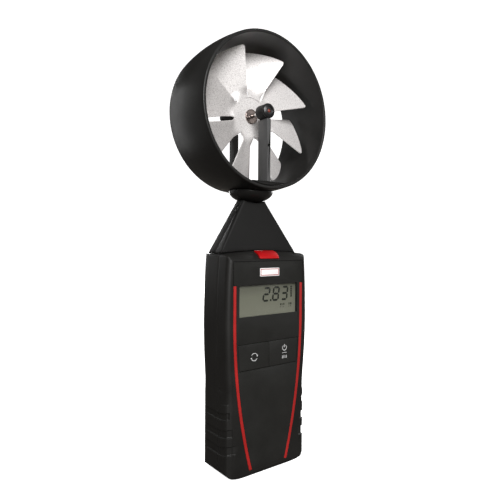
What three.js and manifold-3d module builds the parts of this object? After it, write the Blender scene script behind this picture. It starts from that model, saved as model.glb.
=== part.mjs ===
// A handheld vane anemometer: a two-shell battery instrument with a display and two keys,
// a tapered neck, and a round duct in which an eight-blade vane spins on a steel shaft.
// Millimetres. X is to the right seen from the front, Y goes to the back, Z is up.
// The origin is the centre of the case's flat base; the vane's axis is parallel to Y.
import * as THREE from "three";
import { mergeVertices } from "three/addons/utils/BufferGeometryUtils.js";
import Module from "manifold-3d";

const wasm = await Module();
wasm.setup();

// ---------------------------------------------------------------- driving dimensions
const gap = 0.3; // between pieces that touch
const wall = 2.2; // of the moulded shells

// case
const caseFront = -17.35;
const caseBack = 17.35;
const caseTop = 150.4; // at the middle of the crowned top
const caseHalfWidth = 35.3; // at its widest
const widestHeight = 104;
const sideArcRadius = 550;
const gripHalfWidth = 34; // over the ribbed grips
const gripTop = 55;
const frontCornerRadius = 3.6; // beside the display
const gripCornerRadius = 4.2; // beside the grips
const backCornerRadius = 9.5;
const cheekDrop = 0.5; // how far the front falls back between panel and corner at the grips
const partingY = -5.5; // plane between the two shells
const baseHalfWidth = 12; // of the flat the case stands on
const grooves = [
  { level: 18.9, height: 5.5, reach: 27.6 },
  { level: 30.2, height: 4.9, reach: 29.8 },
  { level: 41.7, height: 4.3, reach: 32 },
]; // the grip grooves: middle on the side wall, height, and how far in they run on the front
const grooveRise = 1.9; // by which a groove climbs on its way round the front corner
const grooveDepth = 0.6;
const grooveRear = 9; // the grooves end here, before the back corner

// front panel, keys and trim
const panelTop = 143.6;
const panelBottom = 4.6;
const stripTop = 127.9;
const stripWidth = 2.2;
const stripHalfSpan = 28.75; // strip's middle beside the display
const stripStraightTo = 104; // above this height the strips are straight
const stripArcRadius = 365;
const panelThickness = 0.6;
const windowHalfWidth = 25;
const windowBottom = 107.3;
const windowTop = 127.8;
const keysTop = 88.9;
const keysBottom = 71.7;
const keyMargin = 1.5; // between a key and the strip beside it
const keyTravel = 0.5;
const badgeHalfWidth = 8.35;
const badgeBottom = 133.5;
const badgeTop = 139;
const tabHalfWidth = 8.3;

// inside the case
const boardFront = -8.6;
const boardBack = -7;
const screwSpan = 27; // of the case screws, from the middle
const screwLevels = [16, 136.5];
const screwTapRadius = 1.25;
const screwPassRadius = 1.8;
const screwHeadWay = 3; // radius of the recess for a head
const batteryRadius = 5.2;
const batteryLength = 44.5;
const batteryPitch = 10.9;
const batteryBase = 22;
const batteryY = 8.2;
const doorHalfWidth = 25;
const doorBottom = 21;
const doorTop = 73;
const doorThickness = 2;

// neck and collar
const neckParting = 1.2;
const neckBack = 9.3;
const neckFootZ = 146;
const neckTopZ = 189;
const neckFootHalf = 35;
const neckTopHalf = 8.4;
const neckSkirtHalf = 32.2; // the neck's foot is cut off at the case's shoulders
const neckScrewX = [-17, 17];
const neckScrewY = 5.4;
const collarRadius = 15.7;
const collarDrop = 8; // depth of the collar's bowl
const collarZ = 192.4; // height of its widest part
const collarY = 4.6;

// duct
const axisZ = 246;
const ductFront = -17.1;
const ductBack = 28.8;
const ductBore = 51; // at the front
const ductBoreBack = 50.2;
const ductRadius = 54.8; // at its widest
const ductWidestY = 4.5;
const ductArcRadius = 140;
const footTop = 198; // flat top of the strut feet
const frontStrut = { from: -15.5, to: -5, halfWidth: 1.4 };
const rearStrut = { from: 23.8, to: 28.6, halfWidth: 2.5 };

// vane
const bladeCount = 8;
const bladeTipRadius = 47.2;
const bladeThickness = 0.9;
const firstBladeAngle = 60.3; // of a blade's leading edge at its tip, from +X towards +Z
const bladeTurn = 38.2; // angle that a blade covers at its tip
const tipFrontY = -3.8; // where the leading edge meets the tip circle
const tipBackY = 16.8;
const hubRadius = 17;
const hubDiscY = 5.2;
const hubDiscThickness = 0.9;
const bearingRadius = 5;
const shaftRadius = 1.2; // of its thick middle
const hubBore = 1.35;

// ---------------------------------------------------------------- colours
function paint(color, roughness, metalness = 0) {
  return new THREE.MeshStandardMaterial({ color, roughness, metalness });
}
const black = paint(0x0d0d0e, 0.45);
const glossBlack = paint(0x060607, 0.25);
const grey = paint(0x2a2a2c, 0.5);
const red = paint(0xb00f14, 0.4);
const white = paint(0xf2f0ee, 0.4);
const silver = paint(0xd9d6d2, 0.38, 0.7);
const steel = paint(0xb8b8ba, 0.2, 1);
const lcdGrey = paint(0x8c8f84, 0.35);
const boardGreen = paint(0x1f5b35, 0.6);
const brass = paint(0xb98a3c, 0.35, 1);
const amber = paint(0xe0602a, 0.2);
const cellBlue = paint(0x27547c, 0.4);
const cableGrey = paint(0x3c3c3e, 0.6);

// ---------------------------------------------------------------- solids
// A closed geometry as a manifold solid, with its faces pointing out.
function solid(geometry) {
  const bare = geometry.index ? geometry.toNonIndexed() : geometry.clone();
  bare.deleteAttribute("normal");
  bare.deleteAttribute("uv");
  const merged = mergeVertices(bare, 1e-4);
  const corners = merged.index.array;
  const triangles = [];
  for (let i = 0; i < corners.length; i += 3) {
    const [a, b, c] = [corners[i], corners[i + 1], corners[i + 2]];
    if (a !== b && b !== c && c !== a) triangles.push(a, b, c);
  }
  const build = (list) =>
    new wasm.Manifold(
      new wasm.Mesh({
        numProp: 3,
        vertProperties: new Float32Array(merged.attributes.position.array),
        triVerts: new Uint32Array(list),
      }),
    );
  const made = build(triangles);
  return made.volume() < 0 ? build(triangles.reverse()) : made;
}

function block(x0, x1, y0, y1, z0, z1) {
  const box = new THREE.BoxGeometry(x1 - x0, y1 - y0, z1 - z0);
  box.translate((x0 + x1) / 2, (y0 + y1) / 2, (z0 + z1) / 2);
  return solid(box);
}

// Round bars: along Y through (x, z), and along Z through (x, y).
function rodY(radius, y0, y1, x, z, sides = 20) {
  const bar = new THREE.CylinderGeometry(radius, radius, y1 - y0, sides);
  bar.translate(x, (y0 + y1) / 2, z);
  return solid(bar);
}
function rodZ(radius, z0, z1, x, y, sides = 20) {
  const bar = new THREE.CylinderGeometry(radius, radius, z1 - z0, sides);
  bar.rotateX(Math.PI / 2);
  bar.translate(x, y, (z0 + z1) / 2);
  return solid(bar);
}

// A profile of [radius, height] pairs turned about a line along Y through (0, z).
function turnedY(profile, z, sides = 32) {
  const points = profile.map(([r, y]) => new THREE.Vector2(r, y));
  const turned = new THREE.LatheGeometry(points, sides);
  turned.translate(0, 0, z);
  return solid(turned);
}
// The same about a line along Z through (0, y).
function turnedZ(profile, y, sides = 32) {
  const points = profile.map(([r, h]) => new THREE.Vector2(r, h));
  const turned = new THREE.LatheGeometry(points, sides);
  turned.rotateX(Math.PI / 2);
  turned.translate(0, y, 0);
  return solid(turned);
}

// An X-Z outline made y0 to y1 thick, and a Y-Z outline made x0 to x1 thick.
const alongX = new THREE.Vector3(1, 0, 0);
const alongY = new THREE.Vector3(0, 1, 0);
const alongZ = new THREE.Vector3(0, 0, 1);
function plateY(outline, y0, y1, curveSegments = 5) {
  const plate = new THREE.ExtrudeGeometry(outline, {
    depth: y1 - y0,
    bevelEnabled: false,
    curveSegments,
  });
  plate.applyMatrix4(new THREE.Matrix4().makeBasis(alongX, alongZ, alongY.clone().negate()));
  plate.translate(0, y1, 0);
  return solid(plate);
}
function plateX(outline, x0, x1, curveSegments = 5) {
  const plate = new THREE.ExtrudeGeometry(outline, {
    depth: x1 - x0,
    bevelEnabled: false,
    curveSegments,
  });
  plate.applyMatrix4(new THREE.Matrix4().makeBasis(alongY, alongZ, alongX));
  plate.translate(x0, 0, 0);
  return solid(plate);
}

// A solid through rings of points that all have the same number of points. Its two ends are
// closed by fans, or, when each ring goes round a thin ribbon, by squares across the ribbon.
function loft(rings, ribbon = false) {
  const count = rings[0].length;
  const positions = rings.flat().flatMap((p) => [p.x, p.y, p.z]);
  const faces = [];
  for (let k = 0; k + 1 < rings.length; k++) {
    for (let i = 0; i < count; i++) {
      const j = (i + 1) % count;
      const [a, b] = [k * count + i, k * count + j];
      const [c, d] = [a + count, b + count];
      faces.push(a, b, d, a, d, c);
    }
  }
  const last = (rings.length - 1) * count;
  for (let i = 0; ribbon && i + 1 < count / 2; i++) {
    const [a, b, c, d] = [i, i + 1, count - 2 - i, count - 1 - i];
    faces.push(a, c, b, a, d, c);
    faces.push(last + a, last + b, last + c, last + a, last + c, last + d);
  }
  for (let i = 1; !ribbon && i + 1 < count; i++) {
    faces.push(0, i + 1, i);
    faces.push(last, last + i, last + i + 1);
  }
  const geometry = new THREE.BufferGeometry();
  geometry.setAttribute("position", new THREE.Float32BufferAttribute(positions, 3));
  geometry.setIndex(faces);
  return solid(geometry);
}

function steps(from, to, count) {
  return Array.from({ length: count + 1 }, (_, i) => from + ((to - from) * i) / count);
}

// A quarter turn of points about (x, y), from angle a0 to a1 in degrees.
function arc(x, y, radius, a0, a1, count, z) {
  return steps(a0, a1, count).map((a) => {
    const t = THREE.MathUtils.degToRad(a);
    return new THREE.Vector3(x + radius * Math.cos(t), y + radius * Math.sin(t), z);
  });
}

// ---------------------------------------------------------------- the part's tree
const anemometer = new THREE.Group();
function add(name, shape, material) {
  const made = shape.getMesh();
  const geometry = new THREE.BufferGeometry();
  geometry.setAttribute("position", new THREE.BufferAttribute(made.vertProperties, 3));
  geometry.setIndex(new THREE.BufferAttribute(made.triVerts, 1));
  geometry.computeVertexNormals();
  const mesh = new THREE.Mesh(geometry, material);
  mesh.name = name;
  anemometer.add(mesh);
}

// ---------------------------------------------------------------- case body
function halfWidth(z) {
  return z < gripTop ? gripHalfWidth : caseHalfWidth - (z - widestHeight) ** 2 / (2 * sideArcRadius);
}
function stripCentre(z) {
  const below = Math.max(0, stripStraightTo - z);
  return stripHalfSpan - below ** 2 / (2 * stripArcRadius);
}

// One horizontal section of the case, drawn in by inset.
function caseSection(z, inset) {
  const upper = THREE.MathUtils.smoothstep(z, 50, 100);
  const width = halfWidth(z) - inset;
  const corner = THREE.MathUtils.lerp(gripCornerRadius, frontCornerRadius, upper) - inset / 2;
  const rear = backCornerRadius - inset;
  const front = caseFront + inset;
  const cheek = front + cheekDrop * (1 - upper);
  const edge = Math.min(stripCentre(z) + stripWidth / 2 - inset / 4, width - corner - 0.2);
  const right = [
    new THREE.Vector3(edge, front, z),
    ...arc(width - corner, cheek + corner, corner, -90, 0, 3, z),
    ...arc(width - rear, caseBack - inset - rear, rear, 0, 90, 4, z),
  ];
  const left = right.map((p) => new THREE.Vector3(-p.x, p.y, p.z)).reverse();
  return [...right, ...left];
}

// The case seen from the front: crowned base, rounded bottom corners, crowned top.
function frontOutline(inset) {
  const low = inset;
  const side = gripHalfWidth - inset;
  const beyond = caseHalfWidth + 2;
  const shoulder = 146 - inset;
  const shoulderHalf = 33.7 - inset;
  const topHalf = 31 - inset;
  const topEdge = caseTop - 1.7 - inset;
  const outline = new THREE.Shape();
  outline.moveTo(-baseHalfWidth, low);
  outline.lineTo(baseHalfWidth, low);
  outline.quadraticCurveTo(23, low + 0.3, 30 - inset, low + 2.2);
  outline.quadraticCurveTo(side, low + 3.3, side, low + 7.5);
  outline.lineTo(side, low + 10);
  outline.lineTo(beyond, low + 10);
  outline.lineTo(beyond, shoulder);
  outline.lineTo(shoulderHalf, shoulder);
  outline.quadraticCurveTo(shoulderHalf, topEdge - 0.2, topHalf, topEdge);
  outline.quadraticCurveTo(0, topEdge + 3.4, -topHalf, topEdge);
  outline.quadraticCurveTo(-shoulderHalf, topEdge - 0.2, -shoulderHalf, shoulder);
  outline.lineTo(-beyond, shoulder);
  outline.lineTo(-beyond, low + 10);
  outline.lineTo(-side, low + 10);
  outline.lineTo(-side, low + 7.5);
  outline.quadraticCurveTo(-side, low + 3.3, -30 + inset, low + 2.2);
  outline.quadraticCurveTo(-23, low + 0.3, -baseHalfWidth, low);
  return outline;
}

// The case seen from the side: small radii at the base, long bevels at the top.
function sideOutline(inset) {
  const front = caseFront + inset;
  const back = caseBack - inset;
  const low = inset;
  const high = caseTop + 0.2 - inset;
  const frontRound = 3.4;
  const backRound = 1.8;
  const outline = new THREE.Shape();
  outline.moveTo(front + frontRound, low);
  outline.lineTo(back - backRound, low);
  outline.quadraticCurveTo(back, low, back, low + backRound);
  outline.lineTo(back, 143.5 - inset);
  outline.quadraticCurveTo(back - 1.9, high - 1.6, 10, high);
  outline.lineTo(-9, high);
  outline.quadraticCurveTo(front + 2.1, high - 1.6, front, 144.2 - inset);
  outline.lineTo(front, low + frontRound);
  outline.quadraticCurveTo(front, low, front + frontRound, low);
  return outline;
}

function caseBody(inset) {
  const levels = [-1, 8, ...steps(14, gripTop - 1, 2), ...steps(gripTop + 1, 146, 5), caseTop + 1];
  const column = loft(levels.map((z) => caseSection(z, inset)));
  const reach = caseHalfWidth + 5;
  return column
    .intersect(plateY(frontOutline(inset), caseFront - 1, caseBack + 1, 4))
    .intersect(plateX(sideOutline(inset), -reach, reach, 4));
}

// Everything in front of a Y plane, or behind it.
const far = 400;
function before(y) {
  return block(-far, far, -far, y, -far, far);
}
function behind(y) {
  return block(-far, far, y, far, -far, far);
}

// ---------------------------------------------------------------- outlines on the front
function rectangle(x0, x1, z0, z1) {
  const outline = new THREE.Shape();
  outline.moveTo(x0, z0);
  outline.lineTo(x1, z0);
  outline.lineTo(x1, z1);
  outline.lineTo(x0, z1);
  return outline;
}

function outlineOf(points) {
  return new THREE.Shape(points.map(([x, z]) => new THREE.Vector2(x, z)));
}

// A strip beside the panel, on the side given by sign, with play all round.
function stripOutline(sign, play) {
  const half = stripWidth / 2 + play;
  const levels = steps(panelBottom - play, stripTop + 2 * play, 10);
  const outer = levels.map((z) => [sign * (stripCentre(z) + half), z]);
  const inner = levels.map((z) => [sign * (stripCentre(z) - half), z]).reverse();
  return outlineOf(sign > 0 ? [...outer, ...inner] : [...inner, ...outer]);
}

// The printed panel: as wide as the strips above them, and between them below.
function panelOutline(play) {
  const wide = stripHalfSpan + stripWidth / 2 + play;
  const levels = steps(stripTop + gap, panelBottom - play, 10);
  const edge = (z) => stripCentre(z) - stripWidth / 2 - gap / 2 + play;
  const right = levels.map((z) => [edge(z), z]);
  const left = right.map(([x, z]) => [-x, z]).reverse();
  const shoulder = stripTop + gap - play;
  const top = panelTop + play;
  return outlineOf([
    ...left,
    [-wide, shoulder],
    [-wide, top],
    [wide, top],
    [wide, shoulder],
    ...right,
  ]);
}

// A key: square on the middle line, and following the strip on its outer side.
function keyOutline(sign, play) {
  const edge = (z) => stripCentre(z) - stripWidth / 2 - keyMargin + play;
  const inner = gap / 2 - play;
  const levels = steps(keysBottom - play, keysTop + play, 3);
  const outer = levels.map((z) => [sign * edge(z), z]);
  return outlineOf([[sign * inner, keysTop + play], [sign * inner, keysBottom - play], ...outer]);
}

// ---------------------------------------------------------------- sensor lead
// It leaves the rear bearing housing, goes down the rear strut, and on through its foot,
// the duct's wall, the collar and the neck to the connector on the board.
const leadRadius = 0.8;
const leadRoute = new THREE.CatmullRomCurve3([
  new THREE.Vector3(0, 26.2, 236),
  new THREE.Vector3(0, 26.2, 222),
  new THREE.Vector3(0, 26.2, 207),
  new THREE.Vector3(0, 24.6, 199),
  new THREE.Vector3(0, 20.2, 194.4),
  new THREE.Vector3(0, 13, 188),
  new THREE.Vector3(0, 6, 180),
  new THREE.Vector3(0, 5, 165),
  new THREE.Vector3(0, 3, 150),
  new THREE.Vector3(0, -2.6, 142),
  new THREE.Vector3(0, -4, 137.5),
]);
function leadTube(radius) {
  const section = new THREE.Shape();
  section.absarc(0, 0, radius, 0, 2 * Math.PI);
  const tube = new THREE.ExtrudeGeometry(section, {
    steps: 30,
    extrudePath: leadRoute,
    curveSegments: 4,
  });
  return solid(tube);
}
const leadWay = leadTube(leadRadius + 0.5);

// ---------------------------------------------------------------- case shells
const outerCase = caseBody(0);
const innerCase = caseBody(wall);

// One groove ring's section of the case, drawn in by inset and climbing at the front corner.
function grooveSection(z, inset) {
  return caseSection(z, inset).map((p) => {
    const climb = grooveRise * THREE.MathUtils.smoothstep(-p.y, 8, -caseFront);
    return new THREE.Vector3(p.x, p.y, p.z + climb);
  });
}
function gripGrooves() {
  const outset = -5;
  const beyond = 60;
  const cuts = grooves.flatMap(({ level, height, reach }) => {
    const span = [level - height / 2, level + height / 2];
    const floor = loft(span.map((z) => grooveSection(z, grooveDepth)));
    const sleeve = loft(span.map((z) => grooveSection(z, outset))).subtract(floor);
    return [
      sleeve.intersect(block(reach, beyond, caseFront + outset, grooveRear, 0, caseTop)),
      sleeve.intersect(block(-beyond, -reach, caseFront + outset, grooveRear, 0, caseTop)),
    ];
  });
  return cuts.reduce((all, cut) => all.add(cut));
}
const gripCuts = gripGrooves();

// Screw towers in both shells, with the screw's way through the rear one.
const towerRadius = 3.6;
const screwHeadSeat = 12.5;
const screwPlaces = screwLevels.flatMap((z) => [-1, 1].map((sign) => [sign * screwSpan, z]));

function tabProfile(play) {
  const outline = new THREE.Shape();
  outline.moveTo(caseFront - 0.1 - play, 145.4 - play);
  outline.quadraticCurveTo(caseFront + 1 - play, 149.6 + play, -10.2 + play, 150.85 + play);
  outline.lineTo(-10.2 + play, 149.5 - play);
  outline.quadraticCurveTo(caseFront + 2.6, 148.2 - play, caseFront + 1.4 + play, 145.4 - play);
  return outline;
}

const doorWay = block(
  -doorHalfWidth - gap,
  doorHalfWidth + gap,
  caseBack - doorThickness - gap,
  caseBack + 5,
  doorBottom - gap,
  doorTop + gap,
);

function frontShell() {
  let shell = outerCase.intersect(before(partingY - gap / 2)).subtract(innerCase);
  for (const [x, z] of screwPlaces) {
    shell = shell.add(rodY(towerRadius, caseFront + 1.6, partingY - gap / 2, x, z));
    shell = shell.subtract(rodY(screwTapRadius, -13.5, partingY + 1, x, z, 12));
  }
  shell = shell.subtract(plateY(panelOutline(0.15), caseFront - 1, caseFront + 0.8));
  for (const sign of [1, -1]) {
    shell = shell.subtract(plateY(stripOutline(sign, 0.15), caseFront - 1, caseFront + 1.2));
    shell = shell.subtract(plateY(keyOutline(sign, 0.35), caseFront - 1, caseFront + 4));
  }
  const play = 0.3;
  shell = shell.subtract(
    block(
      -windowHalfWidth - play,
      windowHalfWidth + play,
      caseFront - 1,
      caseFront + 4,
      windowBottom - play,
      windowTop + play,
    ),
  );
  shell = shell.subtract(plateX(tabProfile(0.25), -tabHalfWidth - 0.25, tabHalfWidth + 0.25));
  return shell.subtract(gripCuts);
}

function rearShell() {
  let shell = outerCase.intersect(behind(partingY + gap / 2)).subtract(innerCase);
  for (const [x, z] of screwPlaces) {
    shell = shell.add(rodY(towerRadius, partingY + gap / 2, caseBack - 1.6, x, z));
  }
  shell = shell.intersect(outerCase);
  for (const [x, z] of screwPlaces) {
    shell = shell.subtract(rodY(screwPassRadius, partingY - 1, screwHeadSeat + 1, x, z, 16));
    shell = shell.subtract(rodY(screwHeadWay, screwHeadSeat, caseBack + 1, x, z, 20));
  }
  const ledge = block(
    -doorHalfWidth + 1.6,
    doorHalfWidth - 1.6,
    caseBack - 4,
    caseBack + 5,
    doorBottom + 1.2,
    doorTop - 2,
  );
  shell = shell.subtract(doorWay).subtract(ledge).subtract(leadWay);
  for (const x of neckScrewX) {
    shell = shell.subtract(rodZ(screwPassRadius, 140, 155, x, neckScrewY, 16));
  }
  return shell.subtract(gripCuts);
}

add("front_shell", frontShell(), black);
add("rear_shell", rearShell(), black);

// ---------------------------------------------------------------- front trim
function frontPanel() {
  let panel = plateY(panelOutline(0), caseFront, caseFront + panelThickness);
  for (const sign of [1, -1]) {
    panel = panel.subtract(plateY(keyOutline(sign, 0.3), caseFront - 1, caseFront + 1));
  }
  panel = panel.subtract(
    plateY(
      rectangle(-windowHalfWidth - 0.2, windowHalfWidth + 0.2, windowBottom - 0.2, windowTop + 0.2),
      caseFront - 1,
      caseFront + 1,
    ),
  );
  return panel.subtract(
    block(
      -badgeHalfWidth - 0.15,
      badgeHalfWidth + 0.15,
      caseFront - 1,
      caseFront + 0.35,
      badgeBottom - 0.15,
      badgeTop + 0.15,
    ),
  );
}
add("front_panel", frontPanel(), glossBlack);
add(
  "badge_plate",
  block(-badgeHalfWidth, badgeHalfWidth, caseFront - 0.1, caseFront + 0.25, badgeBottom, badgeTop),
  white,
);
for (const [side, sign] of [
  ["left", -1],
  ["right", 1],
]) {
  add("red_strip_" + side, plateY(stripOutline(sign, 0), caseFront - 0.1, caseFront + 1), red);
}
add("red_top_tab", plateX(tabProfile(0), -tabHalfWidth, tabHalfWidth), red);

// ---------------------------------------------------------------- keys and their switches
const switchFace = -12.2;
for (const [side, sign] of [
  ["left", -1],
  ["right", 1],
]) {
  const cap = plateY(keyOutline(sign, 0), caseFront, caseFront + 1.4);
  const x = sign * 13.2;
  const z = (keysTop + keysBottom) / 2;
  const plunger = rodY(2.2, caseFront + 1, switchFace - keyTravel - 0.15, x, z, 16);
  add("key_" + side, cap.add(plunger), glossBlack);
  const body = block(x - 3, x + 3, switchFace + 1, boardFront - 0.1, z - 3, z + 3);
  const button = rodY(1.7, switchFace, switchFace + 1.5, x, z, 16);
  add("switch_" + side, body.add(button), steel);
}

// ---------------------------------------------------------------- display
add(
  "display_window",
  block(
    -windowHalfWidth,
    windowHalfWidth,
    caseFront + 0.15,
    caseFront + 1.6,
    windowBottom,
    windowTop,
  ),
  paint(0xc8d0cc, 0.05),
);
const glassHalf = 28;
const glassLow = windowBottom - 3.2;
const glassHigh = windowTop + 3.2;
add("display_glass", block(-glassHalf, glassHalf, -14.8, -12.2, glassLow, glassHigh), lcdGrey);
const rimInner = block(-glassHalf + 2, glassHalf - 2, -13, -7, glassLow + 2, glassHigh - 2);
add(
  "display_holder",
  block(-glassHalf, glassHalf, -11.9, boardFront - gap, glassLow, glassHigh).subtract(rimInner),
  white,
);

// ---------------------------------------------------------------- circuit board
function circuitBoard() {
  let board = block(-30, 30, boardFront, boardBack, 24, 140);
  for (const [x, z] of screwPlaces) {
    board = board.subtract(rodY(towerRadius + 0.6, -20, 20, x, z));
  }
  board = board.subtract(block(-40, -29, -20, 20, 128, 150));
  return board.subtract(block(29, 40, -20, 20, 128, 150));
}
add("circuit_board", circuitBoard(), boardGreen);
add("processor_chip", block(-5, 5, boardBack + 0.1, boardBack + 1.5, 100, 110), black);
const plug = block(-4, 4, boardBack + 0.1, boardBack + 5, 130, 137);
add("lead_connector", plug, white);

// ---------------------------------------------------------------- batteries
const batteryX = [-1.5, -0.5, 0.5, 1.5].map((k) => k * batteryPitch);
const trayHalf = 2 * batteryPitch + 1.3;
function batteryTray() {
  const low = batteryBase - 5;
  const high = batteryBase + batteryLength + 4.5;
  const outside = block(-trayHalf, trayHalf, batteryY - 6.8, caseBack - 5, low, high);
  const inside = block(
    -trayHalf + 1.2,
    trayHalf - 1.2,
    batteryY - 5.5,
    caseBack,
    low + 1.4,
    high - 1.4,
  );
  return outside.subtract(inside);
}
add("battery_tray", batteryTray(), grey);
for (const [index, x] of batteryX.entries()) {
  const can = rodZ(batteryRadius, batteryBase, batteryBase + batteryLength - 1.2, x, batteryY, 24);
  const top = batteryBase + batteryLength;
  const cap = rodZ(1.9, top - 2, top, x, batteryY, 12);
  add("battery_" + (index + 1), can.add(cap), cellBlue);
}
const contactHalf = trayHalf - 1.5;
const contactLow = batteryBase - 3.3;
function springContacts() {
  let strip = block(-contactHalf, contactHalf, batteryY - 3, batteryY + 3, contactLow, contactLow + 0.5);
  for (const x of batteryX) {
    const coil = [
      [0, contactLow + 0.2],
      [3.6, contactLow + 0.2],
      [2, batteryBase - 0.3],
      [0, batteryBase - 0.3],
    ];
    const cone = turnedZ(coil, batteryY, 12).translate(x, 0, 0);
    strip = strip.add(cone);
  }
  return strip;
}
add("spring_contacts", springContacts(), steel);
const contactHigh = batteryBase + batteryLength + gap;
add(
  "plate_contacts",
  block(-contactHalf, contactHalf, batteryY - 3, batteryY + 3, contactHigh, contactHigh + 0.8),
  steel,
);

// ---------------------------------------------------------------- battery door
// It swings on its bottom edge; the catch is the tongue at its top.
function batteryDoor() {
  const inner = caseBack - doorThickness;
  let door = block(-doorHalfWidth, doorHalfWidth, inner, caseBack, doorBottom, doorTop);
  for (const level of steps(doorTop - 12, doorTop - 6, 3)) {
    door = door.subtract(block(-8, 8, caseBack - 0.5, caseBack + 1, level, level + 1));
  }
  return door.add(block(-5, 5, inner - 2.2, inner + 0.5, doorTop - 5, doorTop - 3.6));
}
add("battery_door", batteryDoor(), black);

// ---------------------------------------------------------------- case screws
for (const [index, [x, z]] of screwPlaces.entries()) {
  const head = rodY(2.6, screwHeadSeat + gap, screwHeadSeat + 2.2, x, z, 16);
  const shank = rodY(1, -12.5, screwHeadSeat + 1, x, z, 10);
  const cross = block(x - 1.5, x + 1.5, screwHeadSeat + 1.4, 20, z - 0.3, z + 0.3);
  const bar = block(x - 0.3, x + 0.3, screwHeadSeat + 1.4, 20, z - 1.5, z + 1.5);
  add("case_screw_" + (index + 1), head.add(shank).subtract(cross).subtract(bar), steel);
}

// ---------------------------------------------------------------- neck
function neckSection(z, inset) {
  const t = (z - neckFootZ) / (neckTopZ - neckFootZ);
  const half = THREE.MathUtils.lerp(neckFootHalf, neckTopHalf, t) - inset;
  const front = THREE.MathUtils.lerp(-7, 0.4, t) + inset;
  const back = neckBack - inset;
  const radius = Math.max(0.4, THREE.MathUtils.lerp(0.9, 3, t) - inset / 2);
  return [
    ...arc(half - radius, front + radius, radius, -90, 0, 3, z),
    ...arc(half - radius, back - radius, radius, 0, 90, 3, z),
    ...arc(-half + radius, back - radius, radius, 90, 180, 3, z),
    ...arc(-half + radius, front + radius, radius, 180, 270, 3, z),
  ];
}
function collarShape(play) {
  const radius = collarRadius + play;
  const bowl = steps(-90, 0, 7).map((a) => {
    const t = THREE.MathUtils.degToRad(a);
    return [Math.max(0, radius * Math.cos(t)), collarZ + (collarDrop + play) * Math.sin(t)];
  });
  bowl[0][0] = 0;
  return turnedZ([...bowl, [radius, collarZ + 8], [0, collarZ + 8]], collarY, 30);
}
const neckBody = loft([neckFootZ, 160, 174, neckTopZ].map((z) => neckSection(z, 0)))
  .subtract(outerCase.translate(0, 0, gap))
  .subtract(collarShape(gap))
  .intersect(block(-neckSkirtHalf, neckSkirtHalf, -far, far, 0, far));
const neckHollow = loft([neckFootZ - 2, 160, 178].map((z) => neckSection(z, 1.9)));
function neckScrewTowers() {
  return neckScrewX
    .map((x) => rodZ(3.4, 149, 158, x, neckScrewY))
    .reduce((all, tower) => all.add(tower))
    .intersect(neckBody);
}
function neckScrewHoles() {
  return neckScrewX
    .map((x) => rodZ(screwTapRadius, 140, 156, x, neckScrewY, 12))
    .reduce((all, hole) => all.add(hole));
}
const neckShell = neckBody
  .subtract(neckHollow)
  .add(neckScrewTowers())
  .subtract(neckScrewHoles())
  .subtract(leadWay);
add("neck_front", neckShell.intersect(before(neckParting - gap / 2)), black);
add("neck_rear", neckShell.intersect(behind(neckParting + gap / 2)), black);
for (const [index, x] of neckScrewX.entries()) {
  const shank = rodZ(1, 146.4, 155, x, neckScrewY, 10);
  const head = rodZ(2.4, 145.3, 146.9, x, neckScrewY, 16);
  add("neck_screw_" + (index + 1), head.add(shank), steel);
}

// ---------------------------------------------------------------- duct
function ductOuter(y) {
  return ductRadius - (y - ductWidestY) ** 2 / (2 * ductArcRadius);
}
const lip = 0.7; // rounding of the duct's two rims
const ductLevels = steps(ductFront + lip, ductBack - lip, 6);
const ductSkin = ductLevels.map((y) => [ductOuter(y), y]);
function ductBodySolid(play) {
  const skin = ductLevels.map((y) => [ductOuter(y) + play, y]);
  return turnedY([[0, ductLevels[0]], ...skin, [0, ductLevels[6]]], axisZ, 64);
}
const ductProfile = [
  [ductBore + lip, ductFront],
  [ductOuter(ductFront) - lip, ductFront],
  ...ductSkin,
  [ductOuter(ductBack) - lip, ductBack],
  [ductBoreBack + lip, ductBack],
  [ductBoreBack, ductBack - lip],
  [ductBore, ductFront + lip],
  [ductBore + lip, ductFront],
];
const ringScrewX = [-8, 8];
const ringScrewY = 5;
const screwWay = ringScrewX.map((x) => rodZ(1.3, 180, 200, x, ringScrewY, 12));
const headWay = ringScrewX.map((x) => rodZ(2.7, 193.4, 205, x, ringScrewY, 16));
let duct = turnedY(ductProfile, axisZ, 64).subtract(leadWay);
for (const way of [...screwWay, ...headWay]) duct = duct.subtract(way);
add("duct_ring", duct, black);

let collar = collarShape(0).subtract(ductBodySolid(gap)).subtract(leadWay);
for (const way of screwWay) collar = collar.subtract(way);
add("collar_front", collar.intersect(before(neckParting - gap / 2)), black);
add("collar_rear", collar.intersect(behind(neckParting + gap / 2)), black);
for (const [index, x] of ringScrewX.entries()) {
  const head = rodZ(2.3, 193.7, 195, x, ringScrewY, 16);
  const shank = rodZ(1, 187.5, 194, x, ringScrewY, 10);
  add("ring_screw_" + (index + 1), head.add(shank), steel);
}

// ---------------------------------------------------------------- struts and their feet
function strutFoot(y0, y1) {
  const t = (y1 - ductFront) / (ductBack - ductFront);
  const radius = THREE.MathUtils.lerp(ductBore, ductBoreBack, t) - gap;
  const chord = turnedY(
    [
      [0, y0],
      [radius, y0],
      [radius, y1],
      [0, y1],
    ],
    axisZ,
    64,
  );
  return chord.intersect(block(-14, 14, y0 - 1, y1 + 1, axisZ - 60, footTop));
}
add("strut_foot_front", strutFoot(-15.8, -3.6), black);
add("strut_foot_rear", strutFoot(22.7, 28.2).subtract(leadWay), black);

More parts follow.
